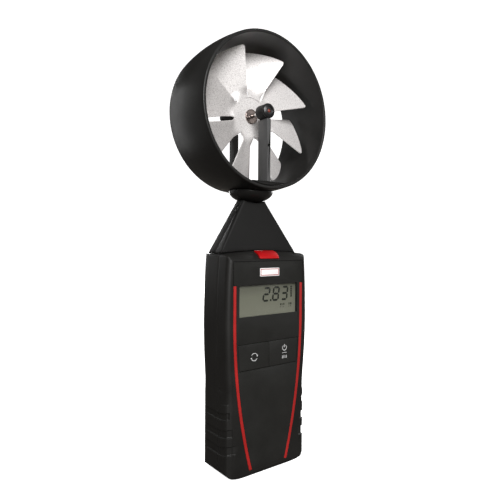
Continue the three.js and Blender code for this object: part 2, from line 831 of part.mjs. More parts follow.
const strutTop = axisZ - bearingRadius + 1.4;
const bearingWay = rodY(bearingRadius + 0.3, -30, 30, 0, axisZ, 24);
const setScrewZ = 222.5;
const frontPost = block(
  -frontStrut.halfWidth,
  frontStrut.halfWidth,
  frontStrut.from,
  frontStrut.to,
  footTop + 0.1,
  strutTop,
)
  .subtract(bearingWay)
  .subtract(rodY(1, frontStrut.from - 1, frontStrut.from + 5, 0, setScrewZ, 16));
add("strut_front", frontPost, grey);
const grub = rodY(0.8, frontStrut.from + 0.8, frontStrut.from + 4.6, 0, setScrewZ, 16);
add("strut_set_screw", grub, black);

// ---------------------------------------------------------------- front bearing
// A barrel through the strut, closed by a coned cap whose stem carries the jewel.
const stemRadius = 2.6;
const shaftWay = 1.45;
const barrelRear = -5.6;
const barrelFront = -14;
const stemEnd = -9.2;
const housingProfile = [
  [shaftWay, barrelRear],
  [shaftWay, stemEnd + 0.2],
  [stemRadius + 0.15, stemEnd + 0.2],
  [stemRadius + 0.15, barrelFront],
  [bearingRadius, barrelFront],
  [bearingRadius, barrelRear - 1.6],
  [bearingRadius - 0.5, barrelRear - 0.5],
  [bearingRadius - 1.6, barrelRear],
  [shaftWay, barrelRear],
];
add("bearing_housing_front", turnedY(housingProfile, axisZ, 24), glossBlack);
const jewelRadius = 1.15;
const capFace = -16.5;
const capFloor = -15.5; // of the recess round the jewel
const capProfile = [
  [jewelRadius + 0.1, capFloor],
  [stemRadius, capFloor],
  [stemRadius, capFace],
  [bearingRadius - 0.6, capFace + 0.9],
  [bearingRadius, capFace + 1.5],
  [bearingRadius, barrelFront - 0.15],
  [stemRadius, barrelFront - 0.15],
  [stemRadius, stemEnd],
  [shaftWay, stemEnd],
  [shaftWay, -14.4],
  [jewelRadius + 0.1, -14.4],
  [jewelRadius + 0.1, capFloor],
];
add("bearing_screw_front", turnedY(capProfile, axisZ, 24), glossBlack);
add("jewel_front", rodY(jewelRadius, capFloor + 0.1, -14.6, 0, axisZ, 16), amber);

// ---------------------------------------------------------------- rear bearing and sensor
const sensorHousingFront = 24.2;
const sensorHousingBack = 28.6;
function sensorHousing() {
  const half = 11.5;
  const outline = new THREE.Shape();
  outline.moveTo(-rearStrut.halfWidth, axisZ - 9);
  outline.lineTo(rearStrut.halfWidth, axisZ - 9);
  outline.lineTo(half, axisZ + 1);
  outline.lineTo(half, axisZ + 4);
  outline.absarc(0, axisZ + 4, half, 0, Math.PI, false);
  outline.lineTo(-half, axisZ + 1);
  return plateY(outline, sensorHousingFront, sensorHousingBack, 8)
    .subtract(rodY(1.6, 20, 26.2, 0, axisZ, 16))
    .subtract(rodY(2.9, 20, 27, 0, axisZ + 9.5, 20))
    .subtract(block(-1.5, 1.5, 25, 27.4, axisZ - 12, axisZ - 6))
    .subtract(block(-0.8, 0.8, 25.2, 26.8, axisZ - 7, axisZ + 8));
}
add("sensor_housing", sensorHousing(), glossBlack);
add("jewel_rear", rodY(1.4, 24.9, 26, 0, axisZ, 16), amber);
add("pickup_coil", rodY(2.6, 23.7, 26.8, 0, axisZ + 9.5, 20), brass);
const rearPost = block(
  -rearStrut.halfWidth,
  rearStrut.halfWidth,
  rearStrut.from,
  rearStrut.to,
  footTop + 0.1,
  axisZ - 9.3,
).subtract(leadWay);
add("strut_rear", rearPost, black);
add("sensor_lead", leadTube(leadRadius), cableGrey);

// ---------------------------------------------------------------- vane
add(
  "vane_shaft",
  rodY(0.5, -14.4, 24.7, 0, axisZ, 12).add(rodY(shaftRadius, -5.2, 12, 0, axisZ, 16)),
  steel,
);
const bossProfile = [
  [hubBore, 4],
  [5.1, 4],
  [5.1, hubDiscY - 0.1],
  [hubBore, hubDiscY - 0.1],
  [hubBore, 4],
];
add("hub_boss_front", turnedY(bossProfile, axisZ, 24), steel);
const hubBack = hubDiscY + hubDiscThickness;
const rearBossProfile = [
  [hubBore, hubBack + 0.1],
  [6, hubBack + 0.1],
  [6, hubBack + 1.4],
  [2.6, hubBack + 2.4],
  [2.6, 11.6],
  [hubBore, 11.6],
  [hubBore, hubBack + 0.1],
];
add("hub_boss_rear", turnedY(rearBossProfile, axisZ, 20), steel);

// A blade's middle line runs out from the hub; the blade turns from the hub's plane to its
// full pitch just outside the disc, and its chord grows with the radius.
function bladeRow(radius, angle) {
  const outward = (radius - hubRadius) / (bladeTipRadius - hubRadius);
  const turn = THREE.MathUtils.degToRad(bladeTurn);
  const rise = tipBackY - tipFrontY;
  const tipChord = Math.hypot(turn * bladeTipRadius, rise);
  const tipPitch = Math.atan2(rise, turn * bladeTipRadius);
  const chord = THREE.MathUtils.lerp(10.6, tipChord, Math.max(0, outward));
  const bend = THREE.MathUtils.smoothstep(radius, 14, 21);
  const pitch = tipPitch * bend;
  const middleY = THREE.MathUtils.lerp(hubDiscY, (tipFrontY + tipBackY) / 2, Math.max(0, outward));
  const middle = THREE.MathUtils.degToRad(angle + bladeTurn / 2);
  return steps(-0.5, 0.5, 4).map((s) => {
    const along = s * chord;
    const theta = middle + (along * Math.cos(pitch)) / radius;
    return { theta, radius, y: middleY + along * Math.sin(pitch), pitch };
  });
}
function blade(angle) {
  const rows = [13.5, 15.5, 18, 21, 28, 38, bladeTipRadius].map((r) => bladeRow(r, angle));
  const place = (p, side) => {
    const offset = (side * bladeThickness) / 2;
    const theta = p.theta - (offset * Math.sin(p.pitch)) / p.radius;
    const y = p.y + offset * Math.cos(p.pitch);
    return new THREE.Vector3(p.radius * Math.cos(theta), y, axisZ + p.radius * Math.sin(theta));
  };
  const rings = rows.map((row) => [
    ...row.map((p) => place(p, -1)),
    ...row.map((p) => place(p, 1)).reverse(),
  ]);
  return loft(rings, true);
}
function impeller() {
  let vane = rodY(hubRadius - 1, hubDiscY, hubBack, 0, axisZ, 48);
  for (let k = 0; k < bladeCount; k++) {
    vane = vane.add(blade(firstBladeAngle + (360 * k) / bladeCount));
  }
  return vane.subtract(rodY(hubBore, 0, 10, 0, axisZ, 16));
}
add("impeller", impeller(), silver);

export default anemometer;
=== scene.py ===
"""Looks of the vane anemometer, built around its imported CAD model. Shapes are in mm."""

import math

import bmesh
import bpy
from mathutils import Matrix, Vector


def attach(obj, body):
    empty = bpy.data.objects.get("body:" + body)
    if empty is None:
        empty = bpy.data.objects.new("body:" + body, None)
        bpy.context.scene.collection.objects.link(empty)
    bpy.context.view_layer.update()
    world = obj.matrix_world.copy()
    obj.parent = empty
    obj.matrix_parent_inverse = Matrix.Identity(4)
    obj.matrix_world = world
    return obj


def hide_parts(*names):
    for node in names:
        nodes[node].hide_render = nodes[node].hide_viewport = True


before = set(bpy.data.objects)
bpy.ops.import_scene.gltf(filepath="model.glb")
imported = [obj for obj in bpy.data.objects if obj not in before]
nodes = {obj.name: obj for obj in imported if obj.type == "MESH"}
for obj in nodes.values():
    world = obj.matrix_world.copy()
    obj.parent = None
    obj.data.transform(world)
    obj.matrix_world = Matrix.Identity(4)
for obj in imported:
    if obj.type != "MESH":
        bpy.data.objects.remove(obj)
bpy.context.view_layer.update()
MM = 0.001
HOST = "instrument"  # the body that everything but the moving pieces rides on

# ------------------------------------------------------------ sizes shared with the CAD model
GAP = 0.3
WALL = 2.2
CASE_FRONT, CASE_BACK, CASE_TOP = -17.35, 17.35, 150.4
WIDEST_HALF, WIDEST_Z, SIDE_ARC = 35.3, 104, 550
GRIP_HALF, GRIP_CORNER, TOP_CORNER, BACK_CORNER, CHEEK_DROP = 34.0, 4.2, 3.6, 9.5, 0.5
PAD_BESIDE, PAD_EDGE, PAD_CREST = 33.45, -15.5, 58.5
HEEL_FRONT, HEEL_BACK = 3.4, 1.8
PARTING = -5.5
BASE_HALF = 12.0
PANEL_TOP, PANEL_BOTTOM = 143.6, 4.6
STRIP_TOP, STRIP_WIDTH, STRIP_SPAN, STRIP_ARC = 127.9, 2.2, 28.75, 365
WINDOW_HALF, WINDOW_LOW, WINDOW_HIGH, GLASS_FRONT = 25.0, 107.3, 127.8, -14.8
KEYS_TOP, KEYS_LOW, KEY_MARGIN = 88.9, 71.7, 1.5
BADGE_HALF, BADGE_LOW, BADGE_HIGH = 8.35, 133.5, 139.0
TAB_HALF = 8.3
SCREW_PLACES = [(s * 27, z) for z in (16, 136.5) for s in (-1, 1)]
SCREW_SEAT = 12.5
DOOR_HALF, DOOR_LOW, DOOR_HIGH, DOOR_THICK = 25.0, 21.0, 73.0, 2.0
GROOVES = [(18.9, 5.5, 27.6), (30.2, 4.9, 29.8), (41.7, 4.3, 32.0)]
GROOVE_RISE, GROOVE_DEPTH, GROOVE_REAR = 1.9, 0.85, 9.0
NECK_PARTING, NECK_BACK, NECK_FOOT, NECK_TOP = 1.2, 9.3, 146.0, 189.0
NECK_SKIRT = 32.2
COLLAR_R, COLLAR_DROP, COLLAR_Z, COLLAR_Y = 15.7, 8.0, 192.4, 4.6
AXIS = 246.0
DUCT_RADIUS, DUCT_WIDEST, DUCT_ARC = 54.8, 4.5, 140
DUCT_FRONT, DUCT_BACK, BORE, BORE_BACK = -17.1, 28.8, 51.0, 50.2
TIP_R, BLADES, BLADE_T, FIRST_BLADE, BLADE_TURN = 47.2, 8, 0.9, 60.3, 38.2
TIP_FRONT, TIP_BACK, HUB_R, HUB_Y, HUB_T = -3.8, 16.8, 17.0, 5.2, 0.9
HUB_BORE, SHAFT_R, PIVOT_R = 1.35, 1.2, 0.5
BARREL_R, BARREL_BACK, BARREL_FRONT, CAP_FACE, CAP_FLOOR = 5.0, -5.6, -14.0, -16.5, -15.5
STEM_R, STEM_BACK, SHAFT_WAY, SET_SCREW_Z = 2.6, -9.2, 1.45, 222.5
CAMERA_AT, CAMERA_YAW = (-205.98, -269.47, 156.89), 36.855
CAMERA_PITCH, CAMERA_ROLL, LENS, SENSOR = -1.014, 0.368, 34.45, 36


def lerp(a, b, t):
    return a + (b - a) * t


def smooth(t):
    t = min(1.0, max(0.0, t))
    return t * t * (3 - 2 * t)


def steps(a, b, n):
    return [a + (b - a) * i / n for i in range(n + 1)]


# ------------------------------------------------------------ mesh helpers
def raw(name, points, faces):
    """A linked mesh object from points in mm, its faces turned outwards."""
    me = bpy.data.meshes.new(name)
    me.from_pydata([tuple(c * MM for c in p) for p in points], [], faces)
    bm = bmesh.new()
    bm.from_mesh(me)
    bmesh.ops.remove_doubles(bm, verts=bm.verts, dist=2e-7)
    bmesh.ops.recalc_face_normals(bm, faces=bm.faces)
    bm.to_mesh(me)
    bm.free()
    o = bpy.data.objects.new(name, me)
    bpy.context.scene.collection.objects.link(o)
    return o


def loft(name, rings):
    """A closed solid through rings of points, all with the same count."""
    n = len(rings[0])
    points = [p for ring in rings for p in ring]
    faces = [list(range(n)), list(range(len(points) - n, len(points)))]
    for k in range(len(rings) - 1):
        for i in range(n):
            j = (i + 1) % n
            faces.append([k * n + i, k * n + j, (k + 1) * n + j, (k + 1) * n + i])
    return raw(name, points, faces)


def turned(name, profile, axis="y", centre=(0, 0, 0), sides=96, closed=False):
    """A profile of (radius, height) turned about an axis through centre."""
    points, rows = [], []
    for r, h in profile:
        if r < 1e-6:
            rows.append([len(points)] * sides)
            ring = [(0, 0)]
        else:
            rows.append(list(range(len(points), len(points) + sides)))
            turn = [2 * math.pi * i / sides for i in range(sides)]
            ring = [(r * math.cos(a), r * math.sin(a)) for a in turn]
        for p, q in ring:
            local = {"y": (p, h, q), "z": (p, q, h), "x": (h, p, q)}[axis]
            points.append(tuple(local[i] + centre[i] for i in range(3)))
    faces = []
    count = len(profile)
    for k in range(count if closed else count - 1):
        a, b = rows[k], rows[(k + 1) % count]
        for i in range(sides):
            j = (i + 1) % sides
            face = list(dict.fromkeys([a[i], a[j], b[j], b[i]]))
            if len(face) > 2:
                faces.append(face)
    return raw(name, points, faces)


def fillet(points, radius, n=4, closed=True):
    """A polyline whose corners are rounded. radius is one number or one per corner."""
    pts = [Vector(p) for p in points]
    count = len(pts)
    radii = radius if isinstance(radius, (list, tuple)) else [radius] * count
    out = []
    for i, p in enumerate(pts):
        if radii[i] <= 0 or (not closed and i in (0, count - 1)):
            out.append(tuple(p))
            continue
        u, v = pts[i - 1] - p, pts[(i + 1) % count] - p
        lu, lv = u.length, v.length
        u, v = u / lu, v / lv
        half = math.acos(max(-1, min(1, u.dot(v)))) / 2
        if half > math.pi / 2 - 0.02 or half < 0.02:
            out.append(tuple(p))
            continue
        reach = min(radii[i] / math.tan(half), 0.49 * min(lu, lv))
        r = reach * math.tan(half)
        c = p + (u + v).normalized() * (r / math.sin(half))
        a, b = p + u * reach - c, p + v * reach - c
        for k in range(n + 1):
            t = k / n
            w = a.normalized().lerp(b.normalized(), t)
            turn = a.angle(b)
            w = (math.sin((1 - t) * turn) * a + math.sin(t * turn) * b) / math.sin(turn)
            out.append(tuple(c + w))
    return out


def quad_curve(p0, c, p1, n=8):
    """Points of a quadratic curve, without its first point."""
    return [
        tuple(
            (1 - t) ** 2 * p0[i] + 2 * t * (1 - t) * c[i] + t * t * p1[i] for i in (0, 1)
        )
        for t in steps(0, 1, n)[1:]
    ]


def prism_y(name, outline, y0, y1):
    """An X-Z outline from y0 to y1."""
    return loft(name, [[(x, y, z) for x, z in outline] for y in (y0, y1)])


def prism_x(name, outline, x0, x1):
    """A Y-Z outline from x0 to x1."""
    return loft(name, [[(x, y, z) for y, z in outline] for x in (x0, x1)])


def box(x0, x1, y0, y1, z0, z1, name="box"):
    return prism_y(name, [(x0, z0), (x1, z0), (x1, z1), (x0, z1)], y0, y1)


def rod_y(r, y0, y1, x, z, sides=48, name="rod"):
    return turned(name, [(0, y0), (r, y0), (r, y1), (0, y1)], "y", (x, 0, z), sides)


def rod_z(r, z0, z1, x, y, sides=48, name="rod"):
    return turned(name, [(0, z0), (r, z0), (r, z1), (0, z1)], "z", (x, y, 0), sides)


def drop(o):
    me = o.data
    bpy.data.objects.remove(o)
    bpy.data.meshes.remove(me)


def combine(o, other, operation="DIFFERENCE", keep=False):
    """Cuts other from o, joins it, or keeps what they share."""
    m = o.modifiers.new("combine", "BOOLEAN")
    m.operation, m.object, m.solver = operation, other, "MANIFOLD"
    shape = o.evaluated_get(bpy.context.evaluated_depsgraph_get())
    made = bpy.data.meshes.new_from_object(shape)
    o.modifiers.clear()
    old, o.data = o.data, made
    bpy.data.meshes.remove(old)
    if not keep:
        drop(other)
    return o


def copy_of(o, name=None):
    c = bpy.data.objects.new(name or o.name, o.data.copy())
    bpy.context.scene.collection.objects.link(c)
    return c


def shade(o, angle=34):
    """Smooth faces, with sharp edges where they turn by more than angle."""
    me = o.data
    me.polygons.foreach_set("use_smooth", [True] * len(me.polygons))
    me.set_sharp_from_angle(angle=math.radians(angle))


def bevel(o, width, segments=2, angle=34):
    """Rounded edges, in mm."""
    bm = bmesh.new()
    bm.from_mesh(o.data)
    bmesh.ops.remove_doubles(bm, verts=bm.verts, dist=1e-6)
    bmesh.ops.dissolve_degenerate(bm, edges=bm.edges, dist=1e-6)
    bm.to_mesh(o.data)
    bm.free()
    m = o.modifiers.new("rounded", "BEVEL")
    m.width = width * MM
    m.segments = segments
    m.limit_method = "ANGLE"
    m.angle_limit = math.radians(angle)
    m.use_clamp_overlap = False
    m.harden_normals = False
    shape = o.evaluated_get(bpy.context.evaluated_depsgraph_get())
    made = bpy.data.meshes.new_from_object(shape)
    o.modifiers.clear()
    old, o.data = o.data, made
    bpy.data.meshes.remove(old)


def piece(o, name, material, body=HOST, replaces=(), angle=34):
    """Names a finished shape, paints it, and hangs it on its body."""
    o.name = name
    o.data.materials.clear()
    o.data.materials.append(material)
    shade(o, angle)
    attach(o, body)
    if replaces:
        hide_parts(*([replaces] if isinstance(replaces, str) else replaces))
    return o


# ------------------------------------------------------------ materials
def new_material(name, color, roughness, metallic=0.0, **sockets):
    m = bpy.data.materials.new(name)
    m.use_nodes = True
    tree = m.node_tree
    shader = tree.nodes["Principled BSDF"]
    shader.inputs["Base Color"].default_value = (*color, 1)
    shader.inputs["Roughness"].default_value = roughness
    shader.inputs["Metallic"].default_value = metallic
    for key, value in sockets.items():
        shader.inputs[key.replace("_", " ")].default_value = value
    return m, tree, shader


def noise(tree, scale, detail=3.0, rough=0.55):
    """A solid noise in object space; scale is in features per metre."""
    place = tree.nodes.new("ShaderNodeTexCoord")
    n = tree.nodes.new("ShaderNodeTexNoise")
    n.inputs["Scale"].default_value = scale
    n.inputs["Detail"].default_value = detail
    n.inputs["Roughness"].default_value = rough
    tree.links.new(place.outputs["Object"], n.inputs["Vector"])
    return n


def ramp(tree, source, stops):
    """A colour ramp over a factor."""
    r = tree.nodes.new("ShaderNodeValToRGB")
    while len(r.color_ramp.elements) < len(stops):
        r.color_ramp.elements.new(0.5)
    for e, (at, value) in zip(r.color_ramp.elements, stops):
        e.position = at
        e.color = (*value, 1) if isinstance(value, tuple) else (value, value, value, 1)
    tree.links.new(source, r.inputs["Fac"])
    return r


def bump(tree, shader, height, strength, distance):
    b = tree.nodes.new("ShaderNodeBump")
    b.inputs["Strength"].default_value = strength
    b.inputs["Distance"].default_value = distance * MM
    tree.links.new(height, b.inputs["Height"])
    tree.links.new(b.outputs["Normal"], shader.inputs["Normal"])


def plastic(name, color, roughness, spread=0.06, grain=2600, depth=0.02, strength=0.5, **sockets):
    """Moulded plastic: fine spark-eroded grain, cloudy gloss and slight colour drift."""
    sockets.setdefault("Specular_IOR_Level", 0.3)
    m, tree, shader = new_material(name, color, roughness, **sockets)
    fine = noise(tree, grain, 4)
    bump(tree, shader, fine.outputs["Fac"], strength, depth)
    cloud = noise(tree, 55, 5, 0.6)
    gloss = ramp(tree, cloud.outputs["Fac"], [(0.3, roughness - spread), (0.7, roughness + spread)])
    tree.links.new(gloss.outputs["Color"], shader.inputs["Roughness"])
    low = tuple(c * 0.86 for c in color)
    high = tuple(min(1, c * 1.14) for c in color)
    tint = ramp(tree, cloud.outputs["Fac"], [(0.3, low), (0.7, high)])
    tree.links.new(tint.outputs["Color"], shader.inputs["Base Color"])
    return m


def metal(name, color, roughness, spread=0.08, scale=900, depth=0.006, metallic=1.0, stretch=None):
    """Metal with fine scratches."""
    m, tree, shader = new_material(name, color, roughness, metallic)
    place = tree.nodes.new("ShaderNodeTexCoord")
    mapping = tree.nodes.new("ShaderNodeMapping")
    mapping.inputs["Scale"].default_value = stretch or (1, 1, 1)
    tree.links.new(place.outputs["Object"], mapping.inputs["Vector"])
    n = noise(tree, scale, 4)
    tree.links.new(mapping.outputs["Vector"], n.inputs["Vector"])
    gloss = ramp(tree, n.outputs["Fac"], [(0.3, roughness - spread), (0.7, roughness + spread)])
    tree.links.new(gloss.outputs["Color"], shader.inputs["Roughness"])
    low = tuple(c * 0.9 for c in color)
    tint = ramp(tree, n.outputs["Fac"], [(0.35, low), (0.65, color)])
    tree.links.new(tint.outputs["Color"], shader.inputs["Base Color"])
    bump(tree, shader, n.outputs["Fac"], 0.4, depth)
    return m


CASE = plastic(
    "case_black", (0.0105, 0.0101, 0.0094), 0.47, grain=2400, depth=0.025, Specular_IOR_Level=0.24
)
DUCT = plastic("duct_black", (0.0105, 0.0102, 0.0097), 0.4, grain=3200, depth=0.015)
# painted shade: a darker, less glossy copy of the duct's black plastic for the neck, which is the same
# moulding
NECK_PAINTED_SHADE = plastic(
    "neck_black_painted_shade", (0.0075, 0.0073, 0.007), 0.44, grain=3200, depth=0.015, Specular_IOR_Level=0.2
)
STRUT = plastic("strut_grey", (0.075, 0.075, 0.075), 0.5, grain=2800)
PANEL = plastic("panel_black", (0.0145, 0.0145, 0.0135), 0.34, 0.04, grain=5000, depth=0.004)
KEYTOP = plastic("key_black", (0.0155, 0.0155, 0.0145), 0.36, 0.04, grain=3500, depth=0.01)
BEARING = plastic(
    "bearing_black", (0.012, 0.0115, 0.011), 0.42, 0.04, 4000, 0.004, Specular_IOR_Level=0.2
)
CAP = plastic(
    "cap_black", (0.008, 0.008, 0.0085), 0.34, 0.04, 4000, 0.003, Specular_IOR_Level=0.6
)
RED = plastic("red_trim", (0.33, 0.015, 0.014), 0.36, 0.04, grain=3000, depth=0.006)
TAB_RED = plastic("red_tab", (0.38, 0.003, 0.0045), 0.42, 0.04, grain=3000, depth=0.008)
WHITE = plastic("badge_white", (0.86, 0.84, 0.84), 0.35, 0.04, grain=3000, depth=0.003)
INK = plastic("lcd_ink", (0.012, 0.014, 0.012), 0.4, 0.04, grain=3000, depth=0.001)
PRINT = plastic("key_print", (0.6, 0.6, 0.6), 0.45, 0.04, grain=3000, depth=0.001)
AMBER = plastic("jewel_amber", (0.16, 0.02, 0.007), 0.2, 0.03, grain=1500, depth=0.002, Coat_Weight=1.0)
STEEL = metal("polished_steel", (0.62, 0.61, 0.6), 0.22)


def spun_material():
    """A turned face: fine rings about the vane's axis."""
    m, tree, shader = new_material("spun_steel", (0.36, 0.31, 0.29), 0.24, 1.0)
    place = tree.nodes.new("ShaderNodeTexCoord")
    mapping = tree.nodes.new("ShaderNodeMapping")
    mapping.inputs["Location"].default_value = (0, 0, -AXIS * MM)
    rings = tree.nodes.new("ShaderNodeTexWave")
    rings.wave_type, rings.rings_direction = "RINGS", "Y"
    rings.inputs["Scale"].default_value = 700
    rings.inputs["Distortion"].default_value = 0.6
    tree.links.new(place.outputs["Object"], mapping.inputs["Vector"])
    tree.links.new(mapping.outputs["Vector"], rings.inputs["Vector"])
    bump(tree, shader, rings.outputs["Fac"], 0.7, 0.03)
    tint = ramp(tree, rings.outputs["Fac"], [(0.2, (0.15, 0.12, 0.11)), (0.8, (0.3, 0.25, 0.23))])
    tree.links.new(tint.outputs["Color"], shader.inputs["Base Color"])
    return m


SPUN = spun_material()
DARK_METAL = metal("dark_steel", (0.3, 0.3, 0.3), 0.3)
SCREW = metal("zinc_screw", (0.55, 0.55, 0.53), 0.34)
BLACK_SCREW = plastic("black_screw", (0.008, 0.008, 0.008), 0.4)
COPPER = metal("copper_wire", (0.62, 0.3, 0.13), 0.32, stretch=(1, 1, 6))
BOARD = plastic("board_green", (0.012, 0.1, 0.04), 0.34, grain=1500, depth=0.01)
LEAD = plastic("lead_sheath", (0.035, 0.035, 0.036), 0.5)
TRAY = plastic("tray_black", (0.03, 0.03, 0.031), 0.5)


def vane_material():
    """Bead-blasted aluminium: a light speckle on a pale, slightly warm ground."""
    m, tree, shader = new_material("vane_blasted", (0.78, 0.76, 0.75), 0.42, 0.25)
    fine = noise(tree, 1500, 6, 0.75)
    speck = ramp(
        tree,
        fine.outputs["Fac"],
        [(0.34, (0.34, 0.315, 0.31)), (0.47, (0.63, 0.605, 0.595)), (0.6, (0.77, 0.75, 0.74))],
    )
    tree.links.new(speck.outputs["Color"], shader.inputs["Base Color"])
    gloss = ramp(tree, fine.outputs["Fac"], [(0.35, 0.56), (0.65, 0.36)])
    tree.links.new(gloss.outputs["Color"], shader.inputs["Roughness"])
    bump(tree, shader, fine.outputs["Fac"], 0.6, 0.03)
    return m


VANE = vane_material()


def lcd_material():
    """A grey-olive display with painted shade: darker towards its top edge."""
    m, tree, shader = new_material("lcd_ground", (0.2, 0.21, 0.18), 0.3)
    place = tree.nodes.new("ShaderNodeTexCoord")
    split = tree.nodes.new("ShaderNodeSeparateXYZ")
    tree.links.new(place.outputs["Object"], split.inputs[0])
    span = tree.nodes.new("ShaderNodeMapRange")
    span.inputs["From Min"].default_value = WINDOW_LOW * MM
    span.inputs["From Max"].default_value = WINDOW_HIGH * MM
    tree.links.new(split.outputs["Z"], span.inputs["Value"])
    # painted shade: the ramp darkens the display towards the top of the window
    painted_shade_ramp = ramp(
        tree,
        span.outputs["Result"],
        [(0.0, (0.215, 0.22, 0.17)), (0.6, (0.185, 0.19, 0.145)), (1.0, (0.115, 0.118, 0.09))],
    )
    tree.links.new(painted_shade_ramp.outputs["Color"], shader.inputs["Base Color"])
    fine = noise(tree, 4000, 2)
    bump(tree, shader, fine.outputs["Fac"], 0.2, 0.003)
    return m


LCD = lcd_material()


def window_material():
    m, tree, shader = new_material("window_clear", (0.02, 0.021, 0.02), 0.06, 0.0)
    shader.inputs["Alpha"].default_value = 0.1
    cloud = noise(tree, 80, 3)
    gloss = ramp(tree, cloud.outputs["Fac"], [(0.3, 0.05), (0.7, 0.09)])
    tree.links.new(gloss.outputs["Color"], shader.inputs["Roughness"])
    return m


WINDOW = window_material()


def cell_material():
    """A cell's printed wrap: dark blue body with a gold band at its top."""
    m, tree, shader = new_material("cell_wrap", (0.02, 0.08, 0.2), 0.28, 0.4)
    place = tree.nodes.new("ShaderNodeTexCoord")
    split = tree.nodes.new("ShaderNodeSeparateXYZ")
    tree.links.new(place.outputs["Object"], split.inputs[0])
    span = tree.nodes.new("ShaderNodeMapRange")
    span.inputs["From Min"].default_value = 0.022
    span.inputs["From Max"].default_value = 0.0665
    tree.links.new(split.outputs["Z"], span.inputs["Value"])
    band = ramp(
        tree,
        span.outputs["Result"],
        [
            (0.0, (0.5, 0.5, 0.5)),
            (0.02, (0.015, 0.06, 0.17)),
            (0.7, (0.015, 0.06, 0.17)),
            (0.705, (0.62, 0.38, 0.12)),
            (0.945, (0.62, 0.38, 0.12)),
            (0.955, (0.5, 0.5, 0.5)),
        ],
    )
    band.color_ramp.interpolation = "LINEAR"
    tree.links.new(band.outputs["Color"], shader.inputs["Base Color"])
    cloud = noise(tree, 300, 3)
    gloss = ramp(tree, cloud.outputs["Fac"], [(0.3, 0.24), (0.7, 0.34)])
    tree.links.new(gloss.outputs["Color"], shader.inputs["Roughness"])
    return m


CELL = cell_material()


# ------------------------------------------------------------ case body
def strip_centre(z):
    return STRIP_SPAN - max(0.0, WIDEST_Z - z) ** 2 / (2 * STRIP_ARC)


def half_width(z, y=0.0):
    """Half the case's width. The grips stand a little proud of the front corners, as a pad
    with a rounded upper corner, and run out softly towards the back."""
    free = WIDEST_HALF - (max(z, 40) - WIDEST_Z) ** 2 / (2 * SIDE_ARC)
    swell = lerp(GRIP_HALF, free, smooth((z - 52) / 20))
    corner = max(free, PAD_BESIDE)
    crest = PAD_CREST - 9 * smooth((-y - 7) / 6) ** 2
    on_pad = smooth((crest - z + 0.4) / 0.8) * smooth((y - PAD_EDGE + 0.3) / 0.6)
    faded = smooth((y + 8) / 6)
    return lerp(corner, max(swell, corner), max(on_pad, faded))


def climb_of(y, z):
    """How far the grooves and the mesh lines round them have climbed at the front corner."""
    fade = smooth((z - 8) / 6) * smooth((56 - z) / 8)
    return GROOVE_RISE * smooth((-y - 8) / 9.35) * fade


def groove_cut(x, y, z):
    ends = smooth((GROOVE_REAR + 0.4 - y) / 0.8)
    deepest = 0.0
    for level, height, reach in GROOVES:
        off = z - level
        if abs(off) > height / 2 + 0.2:
            continue
        lower = smooth((off + height / 2 + 0.15) / 0.3)
        upper = smooth((height / 2 + 0.15 - off) / 0.3)
        along = smooth((abs(x) - reach + 0.3) / 0.6)
        deepest = max(deepest, GROOVE_DEPTH * lower * upper * along * ends)
    return deepest


def case_ring(z, inset=0.0, detailed=True):
    upper = smooth((z - 50) / 50)
    corner = lerp(GRIP_CORNER, TOP_CORNER, upper) - inset / 2
    rear = BACK_CORNER - inset
    front = CASE_FRONT + inset
    cheek = front + CHEEK_DROP * (1 - upper)
    side = half_width(z) - inset
    edge = min(strip_centre(z) + STRIP_WIDTH / 2 - inset / 4, side - corner - 0.2)
    pts = []
    for t in steps(0, 0.95, 5 if detailed else 2):
        pts.append((lerp(edge, side - corner, t), lerp(front, cheek, t)))
    for a in steps(-90, 0, 22 if detailed else 6):
        t = math.radians(a)
        y = cheek + corner + corner * math.sin(t)
        wide = half_width(z, y) - inset if detailed else side
        pts.append((wide - corner + corner * math.cos(t), y))
    for y in (-8.6, -6.9, -4.1, -1.5, 1.5, 4.5):
        pts.append((half_width(z, y) - inset if detailed else side, y))
    for a in steps(0, 90, 10):
        t = math.radians(a)
        y = CASE_BACK - inset - rear + rear * math.sin(t)
        pts.append((side - rear + rear * math.cos(t), y))
    ring = []
    for i, (x, y) in enumerate(pts):
        if detailed and 3 <= i < len(pts) - 6 and 10 < z < 60:
            ax, ay = pts[i - 1]
            bx, by = pts[i + 1]
            n = math.hypot(by - ay, bx - ax) or 1
            cut = groove_cut(x, y, z)
            x, y = x - cut * (by - ay) / n, y + cut * (bx - ax) / n
        ring.append((x, y, z + (climb_of(y, z) if detailed else 0)))
    return ring + [(-x, y, z) for x, y, z in reversed(ring)]


def front_outline(inset):
    low, side = inset, GRIP_HALF - inset
    beyond = 40
    shoulder, shoulder_half = 146 - inset, 33.7 - inset
    top_half, top_edge = 31 - inset, CASE_TOP - 1.7 - inset
    right = [(BASE_HALF, low)]
    right += quad_curve(right[-1], (23, low + 0.3), (30 - inset, low + 2.2))
    right += quad_curve(right[-1], (side, low + 3.3), (side, low + 7.5))
    right += [(side, low + 10), (beyond, low + 10), (beyond, shoulder), (shoulder_half, shoulder)]
    right += quad_curve(right[-1], (shoulder_half, top_edge - 0.2), (top_half, top_edge))
    crown = quad_curve((top_half, top_edge), (0, top_edge + 3.4), (-top_half, top_edge), 24)
    return right + crown[:-1] + [(-x, z) for x, z in reversed(right)]


def side_outline(inset):
    front, back, low = CASE_FRONT + inset, CASE_BACK - inset, inset
    high, r, heel = CASE_TOP + 0.2 - inset, HEEL_BACK, HEEL_FRONT
    pts = [(front + heel, low), (back - r, low)]
    pts += quad_curve(pts[-1], (back, low), (back, low + r))
    pts += [(back, 143.5 - inset)]
    pts += quad_curve(pts[-1], (back - 1.9, high - 1.6), (10, high), 14)
    pts += [(-9, high)]
    pts += quad_curve(pts[-1], (front + 2.1, high - 1.6), (front, 144.2 - inset), 14)
    pts += [(front, low + heel)]
    pts += quad_curve(pts[-1], (front, low), (front + heel, low))[:-1]
    return pts


